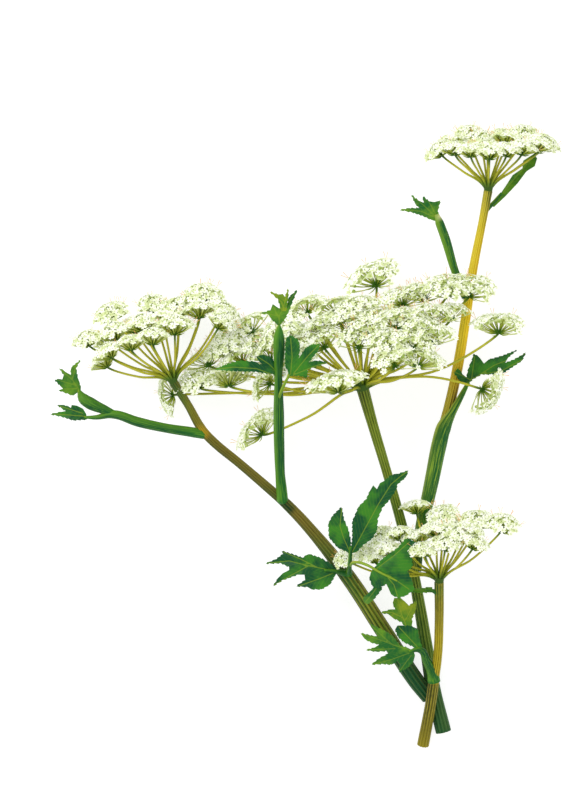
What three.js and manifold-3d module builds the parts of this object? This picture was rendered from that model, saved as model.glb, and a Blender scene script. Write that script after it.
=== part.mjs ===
// Japanese angelica, a cut branching flower stem of the carrot family, laid down on a flat surface.
// Four ribbed stems come together at the foot. Each ends in a compound umbel: a hub, a fan of rays,
// and on each ray a small head of florets. Leaves with swollen sheaths clasp the stems.
// Millimetres, +Z up, the surface at Z = 0, the stems running along +Y from the cut foot.
import * as THREE from "three";
import { mergeVertices } from "three/addons/utils/BufferGeometryUtils.js";
import Module from "manifold-3d";

const wasm = await Module();
wasm.setup();

// Driving dimensions.
const SEAT_GAP = 0.3; // between a piece and the stem that carries it
const BLADE_THICKNESS = 0.9;
const STEM_SIDES = 14; // seven ribs, each a ridge and a groove
const RIB_DEPTH = 0.05; // of the stem's radius
const HUB_REACH = 2.2; // how far the rays start inside the hub
const UP = new THREE.Vector3(0, 0, 1);

// Middle of the plant's outline, which the finished part is centred on.
const PLAN_CENTRE = new THREE.Vector3(-2.2, -1.1, 0);

// Routes of the four stems: x, y, z and radius at each point, from the cut foot to the umbel's hub.
const MAIN_STEM = [
  [89, -193.2, 4.7, 5.2],
  [82.4, -166, 8.5, 4.8],
  [77.8, -139, 13, 4.3],
  [73.5, -113, 18.5, 3.9],
  [67, -80, 25.5, 3.6],
  [60.2, -53, 31, 3.3],
  [50.7, -20, 37, 3.1],
  [42.6, 7, 42, 3.4],
  [35.8, 31, 45.5, 4],
];
const LEFT_STEM = [
  [82, -169, 9, 4.9],
  [72, -158, 12, 5.1],
  [50.4, -127, 18, 5.2],
  [26, -91, 24, 5.1],
  [3, -61, 28, 3.7],
  [-16, -41, 30.5, 3.3],
  [-42, -17, 32.5, 2.9],
  [-66, 2.5, 33.5, 2.9],
  [-78, 21, 34, 2.6],
  [-87, 35, 34.3, 3],
];
const TALL_STEM = [
  [71.5, -88, 22.5, 2.8],
  [74, -60, 23, 3.1],
  [79, -37, 23.5, 3.4],
  [85.5, -5, 23.5, 3.5],
  [91.2, 19, 23, 3.4],
  [96, 45, 22.5, 3.4],
  [101, 76, 22.5, 3.2],
  [107, 108, 23.5, 2.9],
  [114, 140, 26, 2.6],
  [117.7, 160, 28, 2.8],
];
const FRONT_STEM = [
  [75.6, -202, 3.4, 4],
  [80.2, -176, 14.2, 3.6],
  [82.4, -160, 21, 3.5],
  [84.6, -145, 27, 2.9],
  [85.6, -119, 37.5, 2.9],
  [85.4, -94.5, 47, 3],
];

// How a head is built up from its top to the ray's tip. Each ring gives its share of the radius, its
// share of the depth, and how much of the notch between florets it takes. The outline goes round one
// floret, from the gap before it.
const OPEN_HEAD = {
  florets: 6,
  outline: [0.72, 1],
  rings: [
    [0, 1, 0],
    [1, 0.78, 1],
    [0.86, 0.46, 1],
    [0, -0.06, 0],
  ],
};
const ROUND_HEAD = {
  florets: 6,
  outline: [0.76, 1],
  rings: [
    [0, 1, 0],
    [0.8, 0.84, 1],
    [0.98, 0.42, 1],
    [0, -0.05, 0],
  ],
};

// The four umbels. heads lists where each ray ends, the head's radius where it isn't the usual one, and
// the way it faces where that is its own; facing mixes the umbel's axis, the way out from it, and
// straight up.
const UMBELS = [
  {
    name: "umbel_main",
    hub: [35.8, 31, 45.5],
    axis: [-0.17, 0.85, 0.5],
    hubRadius: 5.6,
    rayRadius: 1.05,
    bow: 0.14,
    head: { ...OPEN_HEAD, radius: 15.5, depth: 8 },
    facing: [1, 0.3, 0.12],
    heads: [
      [44, 97, 24, 18.5, [-0.3, 0.85, 0.4]],
      [0, 80, 40],
      [19, 78, 43],
      [33, 79, 45],
      [62, 84, 44],
      [76, 88, 46],
      [90, 90, 44],
      [104, 91, 42, 17],
      [-36, 67, 30],
      [-12, 67, 44],
      [10, 66, 55],
      [28, 66, 58],
      [47, 72, 56],
      [65, 70, 62],
      [80, 72, 62],
      [-53, 53, 26],
      [-44, 46, 34],
      [-24, 48, 46],
      [-6, 52, 60],
      [14, 50, 68],
      [34, 54, 72],
      [52, 56, 76],
      [68, 54, 78],
      [81, 58, 74],
      [-74, 36, 18],
      [-52, 29, 34],
      [-28, 29, 44],
      [4, 39, 70],
      [28, 46, 80],
      [47, 42, 86],
      [62, 42, 86],
      [76, 42, 82],
      [26, 29, 82, 17],
      [127, 67, 50, 18.5],
      [110, 28, 50, 16, [0.85, 0.1, 0.5]],
      [-36, -2, 44, 16, [-0.5, 0.75, 0.4]],
      [-92, 22, 13, 14, [-0.8, 0.4, 0.45]],
    ],
  },
  {
    name: "umbel_left",
    hub: [-87, 35, 34.3],
    axis: [-0.33, 0.92, 0.2],
    hubRadius: 3.6,
    rayRadius: 0.75,
    bow: 0.1,
    head: { ...ROUND_HEAD, radius: 9.5, depth: 10 },
    facing: [1, 0.25, 0.15],
    heads: [
      [-143, 58, 38],
      [-127, 75, 22],
      [-103, 81, 16],
      [-88, 79, 30],
      [-69, 85, 24],
      [-60, 75, 36],
      [-82, 69, 48],
      [-114, 68, 34],
      [-102, 65, 50],
      [-124, 62, 48],
      [-113, 53, 62],
      [-128, 50, 58],
      [-129, 44, 44],
      [-96, 58, 64],
      [-80, 62, 62],
      [-59, 69, 50],
      [-112, 76, 7.2],
      [-84, 78, 9.4],
      [-127, 60, 11],
    ],
  },
  {
    name: "umbel_tall",
    hub: [117.7, 160, 28],
    axis: [0.05, 0.98, 0.15],
    hubRadius: 3.4,
    rayRadius: 0.75,
    bow: 0.05,
    head: { ...ROUND_HEAD, radius: 8.4, depth: 6.5 },
    facing: [1, 0.2, 0.1],
    heads: [
      [85, 183, 30],
      [96, 184, 41],
      [106, 195, 10],
      [114, 191, 20],
      [106, 181, 50],
      [117, 184, 38],
      [126, 192, 7],
      [129, 182, 46],
      [141, 194.5, 15],
      [139, 182, 42],
      [148, 185, 34],
      [155.5, 187, 22],
      [118, 178, 52],
      [95, 188, 20],
      [129, 189, 28],
    ],
  },
  {
    name: "umbel_front",
    hub: [85.4, -94.5, 47],
    axis: [0.1, 0.95, 0.28],
    hubRadius: 3.6,
    rayRadius: 0.75,
    bow: 0.12,
    head: { ...ROUND_HEAD, radius: 9.2, depth: 6.5 },
    facing: [1, 0.3, 0.35],
    heads: [
      [71, -50, 38],
      [89, -53, 42],
      [113, -58, 46],
      [126, -59, 52],
      [106, -63, 56],
      [107, -73, 66],
      [94, -67, 60],
      [83, -65, 54],
      [73, -70, 46],
      [88, -75, 70],
      [76, -79, 66],
      [49, -69, 38],
      [60, -67, 45],
      [38, -78, 36, 7],
      [44, -82, 40, 7],
      [55, -78, 46],
      [20, -77, 36, 6],
      [100, -55, 38],
    ],
  },
];

// Leaves: the stem that carries each, the routes of its stalks and sheaths as x, y, z and radius, and
// its blades. A blade is cut to an outline; its height runs from where it starts to where it ends and
// arches between.
const LEAVES = [
  {
    name: "leaf_left_low",
    stem: "left_stem",
    stalks: [
      [
        [-65, 1.5, 33.5, 3.9],
        [-72, 2.5, 34, 3.3],
        [-92, 5.5, 36, 3],
        [-110, 9.5, 37, 3.3],
        [-127, 14.5, 36, 2.9],
        [-137, 12.5, 34, 1.6],
        [-145, 12.5, 33, 0.9],
      ],
      [
        [-124, 15, 36, 2],
        [-136, 20.5, 36, 3.4],
        [-144, 24, 35, 2.6],
        [-149.5, 30, 34, 0.8],
      ],
    ],
    blades: [
      {
        from: [-148, 29, 33.5],
        to: [-156, 46, 37],
        arch: 1,
        outline: [
          [-149, 29], [-152.5, 26.5], [-162, 30], [-159, 31], [-161, 33], [-164.5, 37], [-159.5, 37],
          [-158.5, 40], [-161.5, 44.5], [-157.5, 42], [-154, 40], [-153.5, 45], [-147.5, 50],
          [-150.5, 44.5], [-149.5, 38.5], [-148, 34.5], [-147.5, 30],
        ],
      },
      {
        from: [-143.5, 13, 32.5],
        to: [-167, 16, 29],
        arch: 1,
        outline: [
          [-143.5, 11], [-152.5, 10.5], [-160.5, 13], [-167.5, 14.5], [-160, 16], [-157.5, 16.5],
          [-163, 20.5], [-158.5, 20.5], [-154, 18.5], [-153.5, 20.5], [-150, 20], [-146, 18],
          [-144, 14.5],
        ],
      },
    ],
  },
  {
    name: "leaf_left_upright",
    stem: "left_stem",
    stalks: [
      [
        [-16.5, -43, 30.5, 4.3],
        [-17, -36, 33, 4],
        [-18.5, -12, 44, 3.6],
        [-19, 14, 58, 3.9],
        [-18.5, 38, 72, 3.6],
        [-18, 58, 82, 3.9],
        [-18.3, 66, 85, 3],
        [-18.3, 73, 87, 0.9],
      ],
      [
        [-19, 24, 66, 1],
        [-15, 34, 76, 1],
        [-10, 43, 82, 0.8],
      ],
    ],
    blades: [
      {
        from: [-18.5, 71.5, 86],
        to: [-13, 95, 89],
        arch: 1,
        outline: [
          [-18.5, 71.5], [-23.5, 76], [-25.5, 79], [-30.5, 79.5], [-24, 81.5], [-22.5, 85.5],
          [-19, 83], [-14, 82.5], [-12, 90], [-6.5, 95], [-9.5, 88], [-12, 81.5], [-14.5, 76],
        ],
      },
      {
        from: [-17, 82, 88.4],
        to: [-18, 95, 94],
        arch: 0.5,
        outline: [
          [-17, 81], [-19, 88.5], [-24.5, 93.5], [-19, 91.5], [-16, 92], [-14.5, 90], [-12.5, 95.5],
          [-12.5, 90], [-14, 81],
        ],
      },
      {
        from: [-18, 38, 73],
        to: [-60, 43.5, 76],
        arch: 4,
        outline: [
          [-18, 37.5], [-22.5, 40.5], [-33, 42], [-47.5, 42.5], [-60, 43.5], [-53, 46.5],
          [-44.5, 49], [-34.5, 48.5], [-28.5, 46], [-31.5, 49], [-33, 51.5], [-30, 53], [-24, 51.5],
          [-21, 47.5], [-19, 43],
        ],
      },
      {
        from: [-11, 40, 81],
        to: [0, 62, 88],
        arch: 1,
        outline: [
          [-11.5, 39.5], [-14.5, 46], [-14.5, 57.5], [-13.5, 64], [-11, 65.5], [-6, 62.5],
          [-5, 57.5], [-6, 50], [-4, 53], [-1, 57.5], [2.5, 59.5], [8, 59.5], [7, 56], [3.5, 51.5],
          [0.5, 48], [6, 49], [13, 48], [6.5, 45.5], [0, 43.5], [-0.5, 38], [-5.5, 39.5],
        ],
      },
    ],
  },
  {
    name: "leaf_left_axil",
    stem: "left_stem",
    stalks: [
      [
        [27, -90, 27, 2.6],
        [27.3, -85, 38, 1.6],
        [27.7, -79, 46, 1.4],
        [28, -71, 49.5, 1.2],
      ],
      [
        [27.3, -84, 40, 1.2],
        [31, -81.5, 50, 1.2],
        [38, -83, 56, 1.1],
        [47, -88, 58.3, 0.9],
      ],
      [
        [25, -89, 28, 2.6],
        [19, -88, 32, 1.5],
        [11, -87, 33.6, 0.9],
      ],
    ],
    blades: [
      {
        from: [19, -88, 31],
        to: [-25, -88, 24],
        arch: 4,
        outline: [
          [19, -87], [14.5, -82.5], [8.5, -79], [1, -76.5], [-3.5, -79], [-9, -77], [-17, -74.5],
          [-16, -76.5], [-20.5, -80], [-27.5, -83], [-17.5, -82.5], [-12, -85], [-12, -87],
          [-16, -89], [-19, -92], [-22.5, -97.5], [-16, -93.5], [-6.5, -90], [-2, -90],
          [-1.5, -93.5], [-7.5, -97.5], [0, -98], [2.5, -99.5], [9, -99.5], [14.5, -96.5],
          [17.5, -91.5], [19, -89],
        ],
      },
      {
        from: [27.5, -75, 47.5],
        to: [22, -45.5, 53],
        arch: 3,
        outline: [
          [28, -76], [19.5, -72], [14, -65.5], [13.5, -56.5], [16, -51.5], [22, -45.5],
          [23.5, -53.5], [26.5, -60.5], [28, -67.5],
        ],
      },
      {
        from: [29, -75, 47.5],
        to: [65, -22, 51],
        arch: 8,
        outline: [
          [28, -76], [29, -65.5], [29, -55], [33, -45.5], [38, -40.5], [40.5, -35], [42.5, -31.5],
          [45, -34], [47, -30], [50, -28.5], [54, -25], [59, -24], [65.5, -22], [63.5, -26.5],
          [58.5, -30.5], [57, -35], [53, -41], [48.5, -46], [45.5, -53], [45, -60.5], [42, -66],
          [36.5, -70], [31.5, -75],
        ],
      },
      {
        from: [41, -87, 56.5],
        to: [69, -85, 61],
        arch: 1,
        outline: [
          [44, -84], [48, -79.5], [58.5, -72], [63.5, -66], [68, -67.5], [72, -69], [69.5, -73.5],
          [67.5, -78], [68, -84], [64.5, -87], [67.5, -93], [69, -99], [63.5, -103],
          [58.5, -104.5], [54, -102], [52.5, -98.5], [51, -95.5], [45.5, -98.5], [42, -97],
          [40, -91.5], [41, -88],
        ],
      },
      {
        from: [46, -97, 57.2],
        to: [36.5, -107.5, 46],
        arch: 1,
        outline: [
          [44, -95], [48.5, -98], [45, -103], [42, -106.5], [39, -109], [36.5, -107.5],
          [36, -104.5], [39, -102], [42, -99],
        ],
      },
    ],
  },
  {
    name: "leaf_tall_sheath",
    stem: "tall_stem",
    stalks: [
      [
        [72.6, -70, 23.4, 3.6],
        [74.5, -58, 23.6, 4.1],
        [78.7, -40, 24, 4.6],
        [81.5, -27, 24.2, 4.9],
        [86, -5, 24.4, 5.2],
        [89, 6, 25, 5],
        [94.5, 16, 26.5, 2.7],
        [100, 26, 27, 2],
        [105, 35.5, 27, 1.2],
      ],
    ],
    blades: [
      {
        from: [103.5, 34, 27.2],
        to: [142, 54.5, 19],
        arch: 1,
        outline: [
          [103.5, 33.5], [99, 36.5], [95.5, 41.5], [98, 44.5], [101, 40.5], [103.5, 38.5],
          [105, 44.5], [107, 49], [108.5, 54], [112.5, 51], [115, 47.5], [118, 50], [127, 52.5],
          [137, 56.5], [131, 51.5], [129, 48], [134.5, 50], [142.5, 54.5], [140, 49.5],
          [132.5, 44.5], [125.5, 40], [119.5, 40.5], [113.5, 40.5], [108, 37.5],
        ],
      },
    ],
  },
  {
    name: "leaf_tall_upper",
    stem: "tall_stem",
    stalks: [
      [
        [104, 84, 23, 3.2],
        [100, 96, 27, 2.6],
        [96, 108, 30, 2.6],
        [90, 128, 33, 3.1],
        [86, 139, 34, 2.9],
        [83, 144.5, 34, 1],
      ],
    ],
    blades: [
      {
        from: [84, 141, 33.5],
        to: [64, 153, 34],
        arch: 1.5,
        outline: [
          [83.5, 140], [80.5, 141], [75, 143.5], [67.5, 146], [60, 147.5], [66.5, 148.5],
          [72.5, 148.5], [69.5, 152.5], [67.5, 157.5], [72, 153.5], [75.5, 152], [75, 156.5],
          [79, 153], [82.5, 152.5], [86.5, 153.5], [85, 147.5], [85, 142.5],
        ],
      },
    ],
  },
  {
    name: "bract_tall_top",
    stem: "tall_stem",
    stalks: [
      [
        [116.5, 147.5, 26, 1.8],
        [120.5, 151.5, 23.5, 1.3],
        [126.5, 158.5, 20.5, 0.9],
      ],
    ],
    blades: [
      {
        from: [119, 150, 23.5],
        to: [149, 181, 12.5],
        arch: -1,
        outline: [
          [120, 151], [125.5, 157.5], [130.5, 165], [134, 170.5], [140.5, 175], [141, 180],
          [148, 184.5], [150, 181.5], [148.5, 176.5], [143, 173], [137, 165], [129, 156.5],
          [121.5, 149.5],
        ],
      },
    ],
  },
  {
    name: "leaf_front_low",
    stem: "front_stem",
    stalks: [
      [
        [82.4, -161, 20.6, 4.2],
        [81.5, -156, 22.5, 3.6],
        [77.6, -146, 27.5, 2.8],
        [73.5, -139, 31.5, 2.2],
        [66, -140, 33, 0.9],
      ],
    ],
    blades: [
      {
        from: [70, -140, 32],
        to: [37, -137, 31],
        arch: 2,
        outline: [
          [69, -139.5], [65, -137.5], [60, -136], [56, -130.5], [51, -127], [46, -124.5],
          [40.5, -122], [43, -126], [46.5, -130], [43, -130], [34.5, -128], [37, -131.5],
          [41, -134], [46.5, -135.5], [43.5, -137.5], [38, -139], [44.5, -140], [51.5, -139.5],
          [53, -141], [46.5, -144.5], [41.5, -148.5], [49, -148], [54.5, -148.5], [58.5, -146],
          [60.5, -148.5], [59.5, -153.5], [65, -150.5], [69, -146.5], [70, -142.5],
        ],
      },
      {
        from: [73, -139, 31.5],
        to: [58, -123.5, 34],
        arch: 1,
        outline: [
          [73.5, -139], [63, -134], [59, -130.5], [57, -125.5], [58.5, -123], [63, -123],
          [67.5, -123.5], [71.5, -125], [72.5, -130.5], [74.5, -137.5],
        ],
      },
      {
        from: [67, -126, 33.6],
        to: [58, -105, 36],
        arch: 1,
        outline: [
          [65, -126], [61.5, -121], [55.5, -118], [52.5, -115.5], [47.5, -114.5], [54.5, -112.5],
          [57, -112.5], [55.5, -108], [56.5, -105], [60.5, -105], [63.5, -107.5], [66, -110],
          [71, -107], [70, -113.5], [68, -118.5], [68, -126],
        ],
      },
    ],
  },
  {
    name: "bract_front_top",
    stem: "front_stem",
    stalks: [
      [
        [85, -102, 44.5, 2],
        [81, -100, 45.8, 1.2],
        [76, -99.5, 46.2, 0.8],
      ],
    ],
    blades: [
      {
        from: [81, -99, 45.6],
        to: [62.5, -100, 42],
        arch: 1,
        outline: [
          [81, -97.8], [78.5, -97.8], [73, -99], [67.5, -98.5], [62.5, -100], [67.5, -101],
          [73, -101.5], [78.5, -101.2], [81, -101.2],
        ],
      },
    ],
  },
];

const MATERIALS = {
  olive: new THREE.MeshStandardMaterial({ color: "#66732a", roughness: 0.7, metalness: 0 }),
  brown: new THREE.MeshStandardMaterial({ color: "#6b5f2c", roughness: 0.7, metalness: 0 }),
  golden: new THREE.MeshStandardMaterial({ color: "#cdb02c", roughness: 0.65, metalness: 0 }),
  ochre: new THREE.MeshStandardMaterial({ color: "#9a8a2a", roughness: 0.65, metalness: 0 }),
  leaf: new THREE.MeshStandardMaterial({ color: "#2f7a2a", roughness: 0.6, metalness: 0 }),
  floret: new THREE.MeshStandardMaterial({ color: "#eef3e2", roughness: 0.8, metalness: 0 }),
};

const vec = (p) => new THREE.Vector3(p[0], p[1], p[2]);

// A closed geometry as a solid.
function solidOf(geometry) {
  const bare = geometry.index ? geometry.toNonIndexed() : geometry.clone();
  bare.deleteAttribute("normal");
  bare.deleteAttribute("uv");
  const merged = mergeVertices(bare, 1e-4);
  return new wasm.Manifold(
    new wasm.Mesh({
      numProp: 3,
      vertProperties: new Float32Array(merged.attributes.position.array),
      triVerts: new Uint32Array(merged.index.array),
    }),
  );
}

// A solid as a named mesh.
function meshOf(solid, name, material) {
  const m = solid.getMesh();
  const positions = new Float32Array(m.numVert * 3);
  for (let i = 0; i < m.numVert; i++)
    positions.set(m.vertProperties.subarray(i * m.numProp, i * m.numProp + 3), i * 3);
  const geometry = new THREE.BufferGeometry();
  geometry.setAttribute("position", new THREE.BufferAttribute(positions, 3));
  geometry.setIndex(new THREE.BufferAttribute(m.triVerts, 1));
  const mesh = new THREE.Mesh(geometry, material);
  mesh.name = name;
  return mesh;
}

const fuse = (solids) => wasm.Manifold.union(solids);

// Moves every vertex of a geometry to where place(vertex) says.
function reshape(geometry, place) {
  const position = geometry.attributes.position;
  for (let i = 0; i < position.count; i++) {
    const p = place(new THREE.Vector3().fromBufferAttribute(position, i));
    position.setXYZ(i, p.x, p.y, p.z);
  }
  return geometry;
}

// Turns a geometry that points along +Y to point along a direction, at a place.
function aim(geometry, direction, place) {
  const turn = new THREE.Quaternion().setFromUnitVectors(new THREE.Vector3(0, 1, 0), direction);
  return geometry.applyQuaternion(turn).translate(place.x, place.y, place.z);
}

// A tapered stalk along a route of x, y, z and radius, ribbed if ribs is more than 0.
function stalk(route, { sides, steps, ribs = 0, grow = 0 }) {
  const curve = new THREE.CatmullRomCurve3(route.map(vec), false, "centripetal");
  const last = route.length - 1;
  const chord = vec(route[last]).sub(vec(route[0])).normalize();
  const reference = Math.abs(chord.z) > 0.8 ? new THREE.Vector3(0, 1, 0) : UP;
  const radiusAt = (t) => {
    const i = Math.min(last - 1, Math.floor(t * last));
    return THREE.MathUtils.lerp(route[i][3], route[i + 1][3], t * last - i);
  };
  return solidOf(
    reshape(new THREE.CylinderGeometry(1, 1, 1, sides, steps), (p) => {
      const t = p.y + 0.5;
      const rib = 1 + (ribs ? RIB_DEPTH * Math.cos(ribs * Math.atan2(p.x, p.z)) : 0);
      const r = radiusAt(t) * rib + grow;
      const along = curve.getTangent(t);
      const side = along.clone().cross(reference).normalize();
      const over = side.clone().cross(along);
      return curve.getPoint(t).addScaledVector(side, p.x * r).addScaledVector(over, p.z * r);
    }),
  );
}

// The end of a route moved on past it by a length.
function overrun(end, before, length) {
  const ahead = vec(end).sub(vec(before)).setLength(length);
  return [...vec(end).add(ahead), end[3]];
}

// A stem, or with grow the room it needs, which also runs on past its ends by as much.
function stem(route, grow = 0) {
  const foot = overrun(route[0], route[1], grow);
  const top = overrun(route.at(-1), route.at(-2), grow);
  return stalk([foot, ...route.slice(1, -1), top], {
    sides: STEM_SIDES,
    steps: route.length + 1,
    ribs: STEM_SIDES / 2,
    grow,
  });
}

// A head of florets on the tip of a ray. It is a ball whose rings are moved onto the head's profile
// and whose rim is notched into florets.
function head({ florets, outline, rings, depth }, radius, direction, tip) {
  const around = florets * outline.length;
  const down = rings.length - 1;
  const ball = new THREE.SphereGeometry(1, around, down);
  reshape(ball, (p) => {
    const [share, level, notched] = rings[Math.round((Math.acos(p.y) / Math.PI) * down)];
    const angle = Math.atan2(p.z, -p.x);
    const step = (Math.round((angle / (2 * Math.PI)) * around) + around) % around;
    const reach = radius * share * (1 - notched * (1 - outline[step % outline.length]));
    return new THREE.Vector3(-Math.cos(angle) * reach, depth * level, Math.sin(angle) * reach);
  });
  return solidOf(aim(ball, direction, tip));
}

// The way a head faces: with the umbel, outwards from it, and a little up.
function headFacing(umbel, tip) {
  const axis = vec(umbel.axis).normalize();
  const out = tip.clone().sub(vec(umbel.hub));
  out.addScaledVector(axis, -out.dot(axis)).normalize();
  return new THREE.Vector3()
    .addScaledVector(axis, umbel.facing[0])
    .addScaledVector(out, umbel.facing[1])
    .addScaledVector(UP, umbel.facing[2])
    .normalize();
}

// One ray, which leaves the hub low and bows up to the head.
function ray(umbel, tip) {
  const axis = vec(umbel.axis).normalize();
  const hub = vec(umbel.hub).addScaledVector(axis, HUB_REACH);
  const reach = tip.clone().sub(hub);
  const middle = hub.clone().addScaledVector(reach, 0.55);
  middle.addScaledVector(axis, -umbel.bow * reach.length());
  const route = [hub, middle, tip].map((p) => [p.x, p.y, p.z, umbel.rayRadius]);
  return stalk(route, { sides: 3, steps: 2 });
}

function umbelSolid(umbel) {
  const axis = vec(umbel.axis).normalize();
  const middle = vec(umbel.hub).addScaledVector(axis, umbel.hubRadius * 0.5);
  const solids = [solidOf(aim(new THREE.SphereGeometry(umbel.hubRadius, 8, 5), axis, middle))];
  for (const [x, y, z, radius = umbel.head.radius, own] of umbel.heads) {
    const tip = new THREE.Vector3(x, y, z);
    const facing = own ? vec(own).normalize() : headFacing(umbel, tip);
    solids.push(ray(umbel, tip));
    solids.push(head(umbel.head, radius, facing, tip));
  }
  return fuse(solids);
}

// A leaf blade cut to its outline and arched between its two ends.
function blade({ from, to, arch, outline }) {
  const shape = new THREE.Shape(outline.map(([x, y]) => new THREE.Vector2(x, y)));
  const sheet = new THREE.ExtrudeGeometry(shape, { depth: BLADE_THICKNESS, bevelEnabled: false });
  const run = new THREE.Vector2(to[0] - from[0], to[1] - from[1]);
  return solidOf(
    reshape(sheet, (p) => {
      const way = (p.x - from[0]) * run.x + (p.y - from[1]) * run.y;
      const t = THREE.MathUtils.clamp(way / run.lengthSq(), 0, 1);
      p.z += THREE.MathUtils.lerp(from[2], to[2], t) + 4 * arch * t * (1 - t);
      return p;
    }),
  );
}

function leafSolid(leaf) {
  const solids = leaf.stalks.map((route) =>
    stalk(route, { sides: 7, steps: route.length }),
  );
  solids.push(...leaf.blades.map(blade));
  return fuse(solids);
}

// The surface that the plant lies on, which flattens what touches it into small resting spots.
const ground = solidOf(new THREE.BoxGeometry(500, 500, 20).translate(0, 0, -10));

// Assembly: each piece is cut back by the gap from the stem it sits on.
const stems = {
  main_stem: { route: MAIN_STEM, material: MATERIALS.olive },
  left_stem: { route: LEFT_STEM, material: MATERIALS.brown },
  tall_stem: { route: TALL_STEM, material: MATERIALS.golden },
  front_stem: { route: FRONT_STEM, material: MATERIALS.ochre },
};
const room = Object.fromEntries(
  Object.entries(stems).map(([name, { route }]) => [name, stem(route, SEAT_GAP)]),
);

const plant = new THREE.Group();
plant.name = "japanese_angelica";
for (const [name, { route, material }] of Object.entries(stems)) {
  let solid = stem(route).subtract(ground);
  if (name !== "main_stem") solid = solid.subtract(room.main_stem);
  if (name === "front_stem") solid = solid.subtract(room.left_stem);
  plant.add(meshOf(solid, name, material));
}
const carriers = {
  umbel_main: "main_stem",
  umbel_left: "left_stem",
  umbel_tall: "tall_stem",
  umbel_front: "front_stem",
};
for (const umbel of UMBELS) {
  const solid = umbelSolid(umbel).subtract(ground).subtract(room[carriers[umbel.name]]);
  plant.add(meshOf(solid, umbel.name, MATERIALS.floret));
}
for (const leaf of LEAVES) {
  const solid = leafSolid(leaf).subtract(room[leaf.stem]);
  plant.add(meshOf(solid, leaf.name, MATERIALS.leaf));
}
plant.position.copy(PLAN_CENTRE).negate();

export default plant;
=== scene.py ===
# %% [markdown]
# # Japanese angelica, a cut flower stem
# This is a tall herb of the carrot family. Its stems are ribbed, its leaves clasp them with
# swollen sheaths, and each stem ends in a compound umbel: a fan of rays, and on each ray a small
# umbel of white florets. The cut plant lies on a pale table, and the camera looks straight down on
# it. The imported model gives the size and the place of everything. It stays underneath as a fixed
# frame.

# %% Tools and the fixed frame
import math
import random

import bpy
import numpy as np
from mathutils import Matrix, Vector


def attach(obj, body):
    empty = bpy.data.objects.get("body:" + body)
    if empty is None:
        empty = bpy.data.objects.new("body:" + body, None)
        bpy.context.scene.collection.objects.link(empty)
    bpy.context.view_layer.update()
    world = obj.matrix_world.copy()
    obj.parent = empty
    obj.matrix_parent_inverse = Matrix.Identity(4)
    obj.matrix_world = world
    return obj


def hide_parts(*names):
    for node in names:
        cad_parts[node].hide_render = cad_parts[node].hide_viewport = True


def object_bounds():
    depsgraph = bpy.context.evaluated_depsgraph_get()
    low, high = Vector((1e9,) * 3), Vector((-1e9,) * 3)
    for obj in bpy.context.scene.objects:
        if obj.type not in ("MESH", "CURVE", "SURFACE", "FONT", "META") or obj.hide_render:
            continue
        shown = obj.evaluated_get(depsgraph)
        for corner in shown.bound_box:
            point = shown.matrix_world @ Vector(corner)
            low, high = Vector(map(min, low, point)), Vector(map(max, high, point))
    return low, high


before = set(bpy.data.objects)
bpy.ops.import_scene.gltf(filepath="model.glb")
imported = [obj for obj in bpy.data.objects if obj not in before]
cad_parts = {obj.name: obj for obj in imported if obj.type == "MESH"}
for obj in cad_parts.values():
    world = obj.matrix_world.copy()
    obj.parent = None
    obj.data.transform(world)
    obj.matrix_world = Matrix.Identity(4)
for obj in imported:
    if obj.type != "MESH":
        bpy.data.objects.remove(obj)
frame_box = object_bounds()
frame_size = frame_box[1] - frame_box[0]
print("frame:", len(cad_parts), "nodes,", [round(v, 3) for v in frame_size], "m")

# %% [markdown]
# The frame is in metres. Sizes could be typed so, but millimetres are what a botanist measures a
# specimen in and are easier to check, so every size below is in them, and one function turns a
# point of the plant into the frame's metres. The plant's outline is centred on the frame.

# %% Scale and place
MM = 0.001
PLAN_CENTRE = Vector((-2.2, -1.1, 0.0))


def place(x, y, z):
    return (Vector((x, y, z)) - PLAN_CENTRE) * MM


print("foot of the main stem at", place(89, -193.2, 4.7))

# %% [markdown]
# ## The skeleton
# A stem is a shoot that thins from its cut foot, swells at each node and bends a little there. It
# could be a straight rod, bent afterwards. Here it is a route from the foot to the hub of its
# umbel: points along its middle with the radius at each, since a curve through them bends as
# softly as a real stem does.

# %% Routes of the stems: x, y, z, radius
MAIN_STEM = [
    (89, -193.2, 4.7, 5.1),
    (82.4, -166, 8.5, 4.8),
    (77.8, -139, 13, 4.3),
    (73.5, -113, 18.5, 3.9),
    (67, -80, 25.5, 3.6),
    (60.2, -53, 31, 3.3),
    (50.7, -20, 37, 3.1),
    (42.6, 7, 42, 3.4),
    (35.8, 31, 45.5, 4.1),
]
LEFT_STEM = [
    (79.5, -170.5, 9, 5.1),
    (70.5, -159, 12, 5.5),
    (50, -127.5, 18, 5.5),
    (26, -91, 24, 5.1),
    (2.6, -61.4, 28, 3.8),
    (-13.8, -43.9, 30.2, 3.5),
    (-18.6, -39.6, 30.7, 3.2),
    (-43.2, -18.4, 32.5, 2.9),
    (-62.9, -1.9, 33.4, 3.0),
    (-68.5, 4.4, 33.6, 3.0),
    (-78, 21, 34, 2.6),
    (-87, 35, 34.3, 2.9),
]
TALL_STEM = [
    (71.5, -88, 22.5, 2.8),
    (74, -60, 23, 3.1),
    (79, -37, 23.5, 3.4),
    (85.5, -5, 23.5, 3.5),
    (92.2, 19, 23, 3.4),
    (97.9, 45, 22.5, 3.4),
    (103, 76, 22.5, 3.2),
    (107.8, 108, 23.5, 2.9),
    (114, 140, 26, 2.6),
    (117.7, 160, 28, 2.9),
]
FRONT_STEM = [
    (75.6, -202, 3.6, 3.9),
    (80.2, -176, 14.2, 3.6),
    (82.0, -163, 19.8, 3.7),
    (82.9, -156, 22.5, 3.3),
    (84.6, -145, 27, 2.9),
    (85.6, -119, 37.5, 2.9),
    (85.4, -94.5, 47, 3.1),
]
print("stems:", len(MAIN_STEM), len(LEFT_STEM), len(TALL_STEM), len(FRONT_STEM), "points")

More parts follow.
